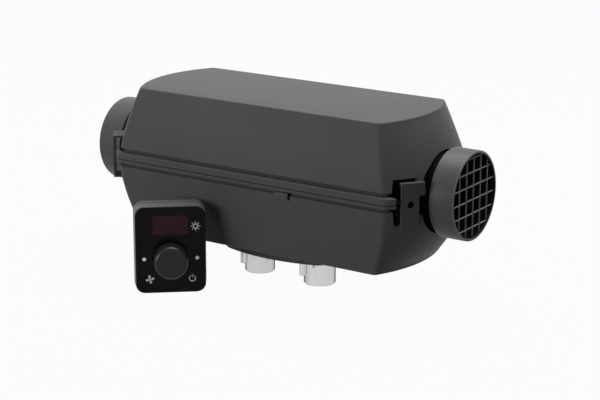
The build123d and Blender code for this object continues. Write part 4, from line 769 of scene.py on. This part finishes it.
def base_skirt():
    """Skirt under the belly that hides the casting's foot, flared into the belly."""
    loops = [bowed_loop(level, SKIRT_HALF_LENGTH + out, SKIRT_HALF_WIDTH + out, SKIRT_END_BOW,
                        SKIRT_CORNER, SKIRT_SIDE_BOW) for level, out in SKIRT_ROWS.items()]
    skirt = skin_over("base_skirt", loops, list(SKIRT_ROWS), cap_last=False)
    apply_modifier(skirt, "SOLIDIFY", thickness=SKIRT_WALL * MM, offset=-1.0)
    finish_mesh(skirt)
    seat(skirt, "shell_plastic")


def rounded_block(name, middle, size, edge):
    """A block with its edges rounded."""
    piece = block(name, middle, size)
    soften(piece, edge)
    smooth(piece)
    return piece


def latch_tab():
    """Snap tab under the seam on the front, closed at its right by a narrow near-black block:
    painted shade of a gap.
    """
    seat(rounded_block("latch_tab", TAB_MIDDLE, TAB_SIZE, TAB_EDGE), "shell_plastic")
    # painted shade: the near-black block stands for the dark of the gap
    seat(rounded_block("latch_gap_shade", TAB_GAP_MIDDLE, TAB_GAP_SIZE, TAB_GAP_EDGE), "gasket_rubber",
         finish=SHADE_BLACK_FINISH)


make_shell("upper_cover", ROOF, "upper_shell")
make_shell("lower_cover", BELLY, "lower_shell")
base_skirt()
latch_tab()


# ---- duct rings and grille ----------------------------------------------------------------
AXIS_PLACE = (0, 0, AXIS_HEIGHT)
RIM = {1: 180.85, -1: 183.15}
RING_RADIUS, RING_WALL = 37.5, 2.5
RING_BACK = 159.2
NECK_RADIUS, NECK_WALL = 33.4, 2.4
NECK_DEPTH = 46.0           # from the rim to the neck's inner end
RING_STEPS, NECK_STEPS = 160, 128
BEARER_BACK, BEARER_FRONT, BEARER_RADIUS = 143.0, 145.2, 45.0
BEARER_GAP = 0.2
SLOT_BACK_MIDDLE, SLOT_BACK_SIZE = (131.0, 52.5, AXIS_HEIGHT + 0.5), (1.6, 21.0, 41.0)
SLOT_BACK_EDGE = 0.3
GRILLE_PLACE = 179.0
BAR_DEPTH, BAR_WIDTH, BAR_PITCH, BAR_EDGE = 1.2, 0.8, 11.7, 0.18
BAR_REACH = RING_RADIUS - 2.3               # bars end inside the ring's wall
ROW_DROP = 3.0


def slot_back(name, side, hand):
    """Near-black plate inside the shells behind the opening at a clip: painted shade that closes
    the view through it.
    """
    along, across, level = SLOT_BACK_MIDDLE
    plate = rounded_block(name, (side * along, hand * across, level), SLOT_BACK_SIZE,
                          SLOT_BACK_EDGE)
    # painted shade: the plate is near black so the opening behind the clip reads dark
    seat(plate, "gasket_rubber", finish=SHADE_BLACK_FINISH)


def ring_finish(name, rim):
    """Ring plastic with painted shade and a painted highlight: near black inside the bore, paler
    on the outermost edge of the rim.
    """
    finish = Finish(name, gloss=0.12)
    speck = finish.noise(900.0, 3.0, 0.6)
    cloud = finish.noise(14.0, 3.0)
    along, across = abs(finish.place_along("X")), finish.place_along("Y")
    above = finish.place_along("Z") - AXIS_HEIGHT * MM
    # painted shade: everything inside the ring's wall, down the bore, is near black
    outside = finish.between(across * across + above * above,
                             ((RING_RADIUS - 2.2) * MM) ** 2, ((RING_RADIUS - 1.8) * MM) ** 2)
    # painted highlight: a paler band along the rim's outermost edge
    painted_highlight = finish.between(along + (cloud - 0.5) * 0.0004, (rim - 1.1) * MM, (rim - 0.3) * MM)
    tone = finish.mixed(finish.between(cloud, 0.3, 0.7), grey(0.06), grey(0.069))
    tone = finish.mixed(finish.between(speck, 0.25, 0.75) * 0.3, tone, grey(0.048))
    tone = finish.mixed(painted_highlight * 0.85, tone, grey(0.16))
    finish.give("Base Color", finish.mixed(outside, grey(0.01), tone))
    finish.give("Roughness", 0.42 + (cloud - 0.5) * 0.12 + (speck - 0.5) * 0.1)
    finish.relief(speck, 0.012)
    return finish.material


def flat_ring(name, side, back, front, inner, outer, steps=96):
    """A plain ring round the air axis, from its back to its front."""
    profile = ((back, inner), (back, outer), (front, outer), (front, inner), (back, inner))
    return turned(name, profile, AXIS_PLACE, (side, 0, 0), steps)


def duct_ring(name, side, node):
    """Duct ring: crisp back edge over a slimmer neck, thin wall, rounded rim."""
    rim, bore = RIM[side], NECK_RADIUS - 1.0
    profile = ((RING_BACK, bore), (RING_BACK, RING_RADIUS - 0.25), (RING_BACK + 0.25, RING_RADIUS),
               (rim - 1.0, RING_RADIUS), (rim - 0.3, RING_RADIUS - 0.3), (rim, RING_RADIUS - 0.9),
               (rim, RING_RADIUS - 1.9), (rim - 0.4, RING_RADIUS - 2.4),
               (RING_BACK + 2.5, RING_RADIUS - RING_WALL), (RING_BACK + 2.5, bore),
               (RING_BACK, bore))
    ring = turned(name, profile, AXIS_PLACE, (side, 0, 0), RING_STEPS)
    seat(ring, "ring_plastic", node, finish=ring_finish(f"{name}_grey", rim))
    # The neck is near black: painted shade in the crevice behind the ring's back edge.
    neck = flat_ring(f"{name}_neck", side, rim - NECK_DEPTH, RING_BACK + 0.3,
                     NECK_RADIUS - NECK_WALL, NECK_RADIUS, NECK_STEPS)
    seat(neck, "gasket_rubber", finish=SHADE_BLACK_FINISH)


def mouth_bearer(name, side):
    """Near-black bearer behind the mouth that the ring's neck passes through: painted shade seen
    past the ring.
    """
    bearer = flat_ring(name, side, BEARER_BACK, BEARER_FRONT, NECK_RADIUS + BEARER_GAP,
                       BEARER_RADIUS)
    # painted shade: the bearer is near black where it shows through the mouth
    seat(bearer, "gasket_rubber", finish=SHADE_BLACK_FINISH)


def guard_grille():
    """Square guard in the inlet ring: upright and level bars let into the ring's wall."""
    places = [(False, column * BAR_PITCH) for column in range(-2, 3)]
    places += [(True, row * BAR_PITCH - ROW_DROP) for row in range(-2, 4)]
    bars = []
    for level, offset in places:
        chord = 2 * math.sqrt(BAR_REACH ** 2 - offset ** 2)
        if level:
            bar = block("bar", (GRILLE_PLACE, 0, AXIS_HEIGHT + offset),
                        (BAR_DEPTH, chord, BAR_WIDTH))
        else:
            bar = block("bar", (GRILLE_PLACE, offset, AXIS_HEIGHT), (BAR_DEPTH, BAR_WIDTH, chord))
        soften(bar, BAR_EDGE)
        bars.append(bar)
    grille = join("guard_grille", bars)
    smooth(grille)
    seat(grille, "grille_plastic", "inlet_grille")


for side, end_name in ENDS:
    for hand, row_name in ROWS:
        slot_back(f"slot_back_{row_name}_{end_name}", side, hand)
for side, end_name in ENDS:
    duct_ring(f"ring_{end_name}", side, f"{end_name}_ring")
for side, end_name in ENDS:
    mouth_bearer(f"bearer_{end_name}", side)
guard_grille()


# ---- seam clips ---------------------------------------------------------------------------
# Places along and across the air axis, levels from the seam. The ear is the plate's wider top.
CLIP_START, CLIP_STOP, CLIP_EAR = (146.0, 58.0), (155.3, 46.0), (158.3, 42.1)
CLIP_LOW, CLIP_EAR_LOW, CLIP_HIGH = -20.0, 7.0, 17.7
CLIP_PLATE, CLIP_ARM, CLIP_EDGE = 2.2, 2.0, 0.4
CLIP_PROUD = {1: 0.0, -1: 2.6}
LOW_RETURN, TOP_RETURN = 10.0, {1: 4.5, -1: 10.0}
SCREW_PLACE, SCREW_LEVEL = (151.0, 51.5), -0.2
SCREW_HOLE, SCREW_REACH, HOLE_SIDES = 3.1, 8.0, 48


def seam_clip(name, side, hand, node):
    """Upright clip over the seam, standing off the sloping wall on two returns."""
    along = Vector((CLIP_STOP[1] - CLIP_START[1], CLIP_START[0] - CLIP_STOP[0], 0)).normalized()
    out = Vector((abs(along.x) * side, abs(along.y) * hand, 0))

    def at(place, level, back=0.0):
        """World place of a spot on the plate's front, or so far back from it."""
        foot = Vector((side * place[0], hand * place[1], AXIS_HEIGHT + level))
        return foot + out * (CLIP_PROUD[side] - back)

    outline = [at(CLIP_START, CLIP_LOW), at(CLIP_STOP, CLIP_LOW), at(CLIP_STOP, CLIP_EAR_LOW),
               at(CLIP_EAR, CLIP_EAR_LOW), at(CLIP_EAR, CLIP_HIGH), at(CLIP_START, CLIP_HIGH)]
    clip = cut_plate(name, outline, -out, CLIP_PLATE)
    for level, tip, deep in ((CLIP_LOW, CLIP_STOP, LOW_RETURN),
                             (CLIP_HIGH - CLIP_ARM, CLIP_EAR, TOP_RETURN[side])):
        corners = [at(CLIP_START, level), at(tip, level), at(tip, level, deep),
                   at(CLIP_START, level, deep)]
        combine(clip, "UNION", cut_plate("arm", corners, (0, 0, 1), CLIP_ARM))
    screw = at(SCREW_PLACE, SCREW_LEVEL)
    combine(clip, "DIFFERENCE", rod("hole", screw - out * SCREW_REACH, screw + out * SCREW_REACH,
                                    SCREW_HOLE, HOLE_SIDES))
    finish_mesh(clip)
    soften(clip, CLIP_EDGE)
    smooth(clip)
    seat(clip, "clip_plastic", node)


for side, end_name in ENDS:
    for hand, row_name in ROWS:
        seam_clip(f"clip_{row_name}_{end_name}", side, hand, f"seam_clip_{row_name}_{end_name}")


# ---- control panel ------------------------------------------------------------------------
# Spots on the panel are across from its middle and up from its lower edge.
PANEL_PLACE = Vector((-56.0, -98.0, -23.6))
PANEL_TURN = math.radians(40)
PANEL_ACROSS = Vector((math.cos(PANEL_TURN), math.sin(PANEL_TURN), 0))
PANEL_FRONT = Vector((math.sin(PANEL_TURN), -math.cos(PANEL_TURN), 0))
PANEL_WIDTH, PANEL_HEIGHT, PANEL_CORNER = 59.5, 76.0, 8.5
CORNER_STEPS, ARC_STEPS, RING_STRIPS = 8, 16, 4
BEZEL_BACK, BEZEL_DEPTH, BEZEL_WIDTH = -1.3, 1.7, 3.0
BEZEL_ROLL, BEZEL_EDGE = 0.9, 0.25          # roundings of the rim and of its opening
WINDOW_BACK, WINDOW_DEPTH = -4.0, 8.0       # the cutter that opens the bezel
FACE_FRONT = -0.3           # the face lies this far back from the panel's front
INK_THICKNESS = 0.12
SUN_PLACE, FAN_PLACE, POWER_PLACE = (21.4, 58.4), (-17.8, 12.2), (18.2, 12.2)
SUN_RING, FAN_RING, POWER_RING = (2.3, 1.45), (0.75, 0.2), (3.0, 2.15)   # outer and inner radius
SUN_RAY = ((-0.45, 2.9), (0.45, 2.9), (0.3, 4.1), (-0.3, 4.1))
FAN_BLADE = ((-0.35, 0.5), (0.5, 0.6), (1.55, 2.6), (0.9, 3.75), (-0.4, 3.6), (-0.9, 2.4))
POWER_BAR = ((-0.4, 0.6), (0.4, 0.6), (0.4, 3.6), (-0.4, 3.6))
KNOB_LEVEL, KNOB_RADIUS, KNOB_BORE = 30.2, 14.5, 12.4
KNOB_CROWN, KNOB_ROLL, KNOB_WALL = 15.7, 3.4, 1.2


def on_panel(across, level, front):
    """World place of a spot on the panel's front, so far in front of it."""
    return PANEL_PLACE + PANEL_ACROSS * across + PANEL_FRONT * front + Vector((0, 0, level))


def rounded_outline(inset, front):
    """Outline of the panel's front, drawn in by an inset, at a distance in front."""
    half, radius = PANEL_WIDTH / 2 - inset, PANEL_CORNER - inset
    outline = []
    for across, upper, first in ((1, True, 0), (-1, True, 1), (-1, False, 2), (1, False, 3)):
        middle = (across * (half - radius),
                  PANEL_HEIGHT - PANEL_CORNER if upper else PANEL_CORNER)
        for step in range(CORNER_STEPS + 1):
            turn = (first + step / CORNER_STEPS) * math.pi / 2
            outline.append(on_panel(middle[0] + radius * math.cos(turn),
                                    middle[1] + radius * math.sin(turn), front))
    return outline


def front_bezel():
    """Gloss black rim round the face, rolled over at its outer edge."""
    bezel = cut_plate("front_bezel", rounded_outline(0.0, BEZEL_BACK), PANEL_FRONT, BEZEL_DEPTH)
    soften(bezel, BEZEL_ROLL, 4)
    combine(bezel, "DIFFERENCE", cut_plate("window", rounded_outline(BEZEL_WIDTH, WINDOW_BACK),
                                           PANEL_FRONT, WINDOW_DEPTH))
    finish_mesh(bezel)
    soften(bezel, BEZEL_EDGE, angle=60)
    smooth(bezel)
    seat(bezel, "panel_plastic", finish=FACE_FINISH)


def printed(name, outlines):
    """Pad-printed mark on the face: flat outlines of (across, level), joined."""
    marks = [cut_plate("mark", [on_panel(across, level, FACE_FRONT) for across, level in outline],
                       PANEL_FRONT, INK_THICKNESS) for outline in outlines]
    seat(join(name, marks), "lamp_lens", finish=ICON_FINISH)


def arc(middle, radius, first, last):
    """Points on an arc from a first to a last turn in degrees."""
    turns = [math.radians(first + (last - first) * step / ARC_STEPS)
             for step in range(ARC_STEPS + 1)]
    return [(middle[0] + radius * math.cos(turn), middle[1] + radius * math.sin(turn))
            for turn in turns]


def ring_outlines(middle, outer, inner, first=0.0, last=360.0):
    """A flat ring or part of one, as a few curved strips."""
    strips = []
    for strip in range(RING_STRIPS):
        start = first + (last - first) * strip / RING_STRIPS
        stop = first + (last - first) * (strip + 1) / RING_STRIPS
        strips.append(arc(middle, outer, start, stop) + arc(middle, inner, stop, start))
    return strips


def turned_outline(middle, outline, turn=0):
    """An outline about a middle, turned by degrees."""
    sine, cosine = math.sin(math.radians(turn)), math.cos(math.radians(turn))
    return [(middle[0] + x * cosine - y * sine, middle[1] + x * sine + y * cosine)
            for x, y in outline]


def knob_cap():
    """Control knob: straight sides, broad rolled edge, shallow dish in the crown."""
    shoulder = KNOB_CROWN - KNOB_ROLL
    profile = [(0.2, KNOB_BORE), (0.2, KNOB_RADIUS - 0.3), (0.6, KNOB_RADIUS),
               (shoulder, KNOB_RADIUS)]
    for step in range(1, 7):
        turn = math.radians(step * 15)
        profile.append((shoulder + KNOB_ROLL * math.sin(turn),
                        KNOB_RADIUS - KNOB_ROLL + KNOB_ROLL * math.cos(turn)))
    profile += [(KNOB_CROWN - 0.35, KNOB_RADIUS - 4.6), (KNOB_CROWN - 0.6, 6.0),
                (KNOB_CROWN - 0.65, 0.0)]
    cap = turned("knob_cap", profile, on_panel(0, KNOB_LEVEL, FACE_FRONT), PANEL_FRONT)
    apply_modifier(cap, "SOLIDIFY", thickness=KNOB_WALL * MM, offset=-1.0)
    finish_mesh(cap)
    seat(cap, "knob_plastic", "control_knob", body="knob")


front_bezel()
printed("mark_heat", ring_outlines(SUN_PLACE, *SUN_RING)
        + [turned_outline(SUN_PLACE, SUN_RAY, turn) for turn in range(0, 360, 45)])
printed("mark_fan", ring_outlines(FAN_PLACE, *FAN_RING)
        + [turned_outline(FAN_PLACE, FAN_BLADE, turn) for turn in range(20, 380, 90)])
printed("mark_power", ring_outlines(POWER_PLACE, *POWER_RING, 120, 420)
        + [turned_outline(POWER_PLACE, POWER_BAR)])
knob_cap()
dress(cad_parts["panel_face"], FACE_FINISH)


# ---- floor and light ----------------------------------------------------------------------
# The floor's size and the lamps' places and sizes are in metres.
WORLD_LIGHT = 0.14
FLOOR_SIZE = 16.0
FLOOR_DROP = 0.02           # mm below the part, so that the two don't share a face
FLOOR_GREY, FLOOR_GLOW = 0.16, 0.965


def studio_floor():
    """White ground where it is seen or mirrored, and grey paper to all other light."""
    let_go()
    bpy.ops.mesh.primitive_plane_add(size=FLOOR_SIZE,
                                     location=(0, 0, (FLOOR_LEVEL - FLOOR_DROP) * MM))
    floor = bpy.context.object
    floor.name = "studio_floor"
    fix_place()
    finish = Finish("floor_paper", colour=grey(FLOOR_GREY), roughness=0.9)
    glow = finish.node("ShaderNodeEmission", {}, {"Color": grey(1.0), "Strength": 1.0})
    shown = finish.node("ShaderNodeMixShader", {}, {
        0: finish.background_rays() * FLOOR_GLOW,
        1: Amount(finish, finish.shader.outputs[0]), 2: glow})
    finish.links.new(shown.socket, finish.nodes["Material Output"].inputs["Surface"])
    dress(floor, finish.material)


def studio_world():
    """White surround where it is seen or mirrored, and a faint light everywhere else."""
    world = bpy.data.worlds.new("studio_world")
    bpy.context.scene.world = world
    world.use_nodes = True
    sky = NodeTree(world.node_tree)
    backdrop = sky.nodes["Background"]
    backdrop.inputs["Color"].default_value = grey(1.0)
    strength = sky.node("ShaderNodeMapRange", {}, {
        "Value": sky.background_rays(), "To Min": WORLD_LIGHT, "To Max": 1.0})
    sky.links.new(strength.socket, backdrop.inputs["Strength"])


def soft_lamp(name, place, target, size, power):
    """Rectangular area lamp at a place, turned to a target."""
    let_go()
    bpy.ops.object.light_add(type="AREA", location=place)
    lamp = bpy.context.object
    lamp.name = name
    lamp.rotation_euler = (Vector(target) - Vector(place)).to_track_quat("-Z", "Y").to_euler()
    lamp.data.shape = "RECTANGLE"
    lamp.data.size, lamp.data.size_y = size
    lamp.data.energy = power


studio_floor()
studio_world()
soft_lamp("overhead_softbox", place=(0.0, 0.35, 1.5), target=(0, 0, 0.08), size=(1.6, 1.2),
          power=45.0)
soft_lamp("front_fill", place=(-0.9, -1.8, 0.25), target=(0, 0, 0.06), size=(1.2, 0.9),
          power=26.0)
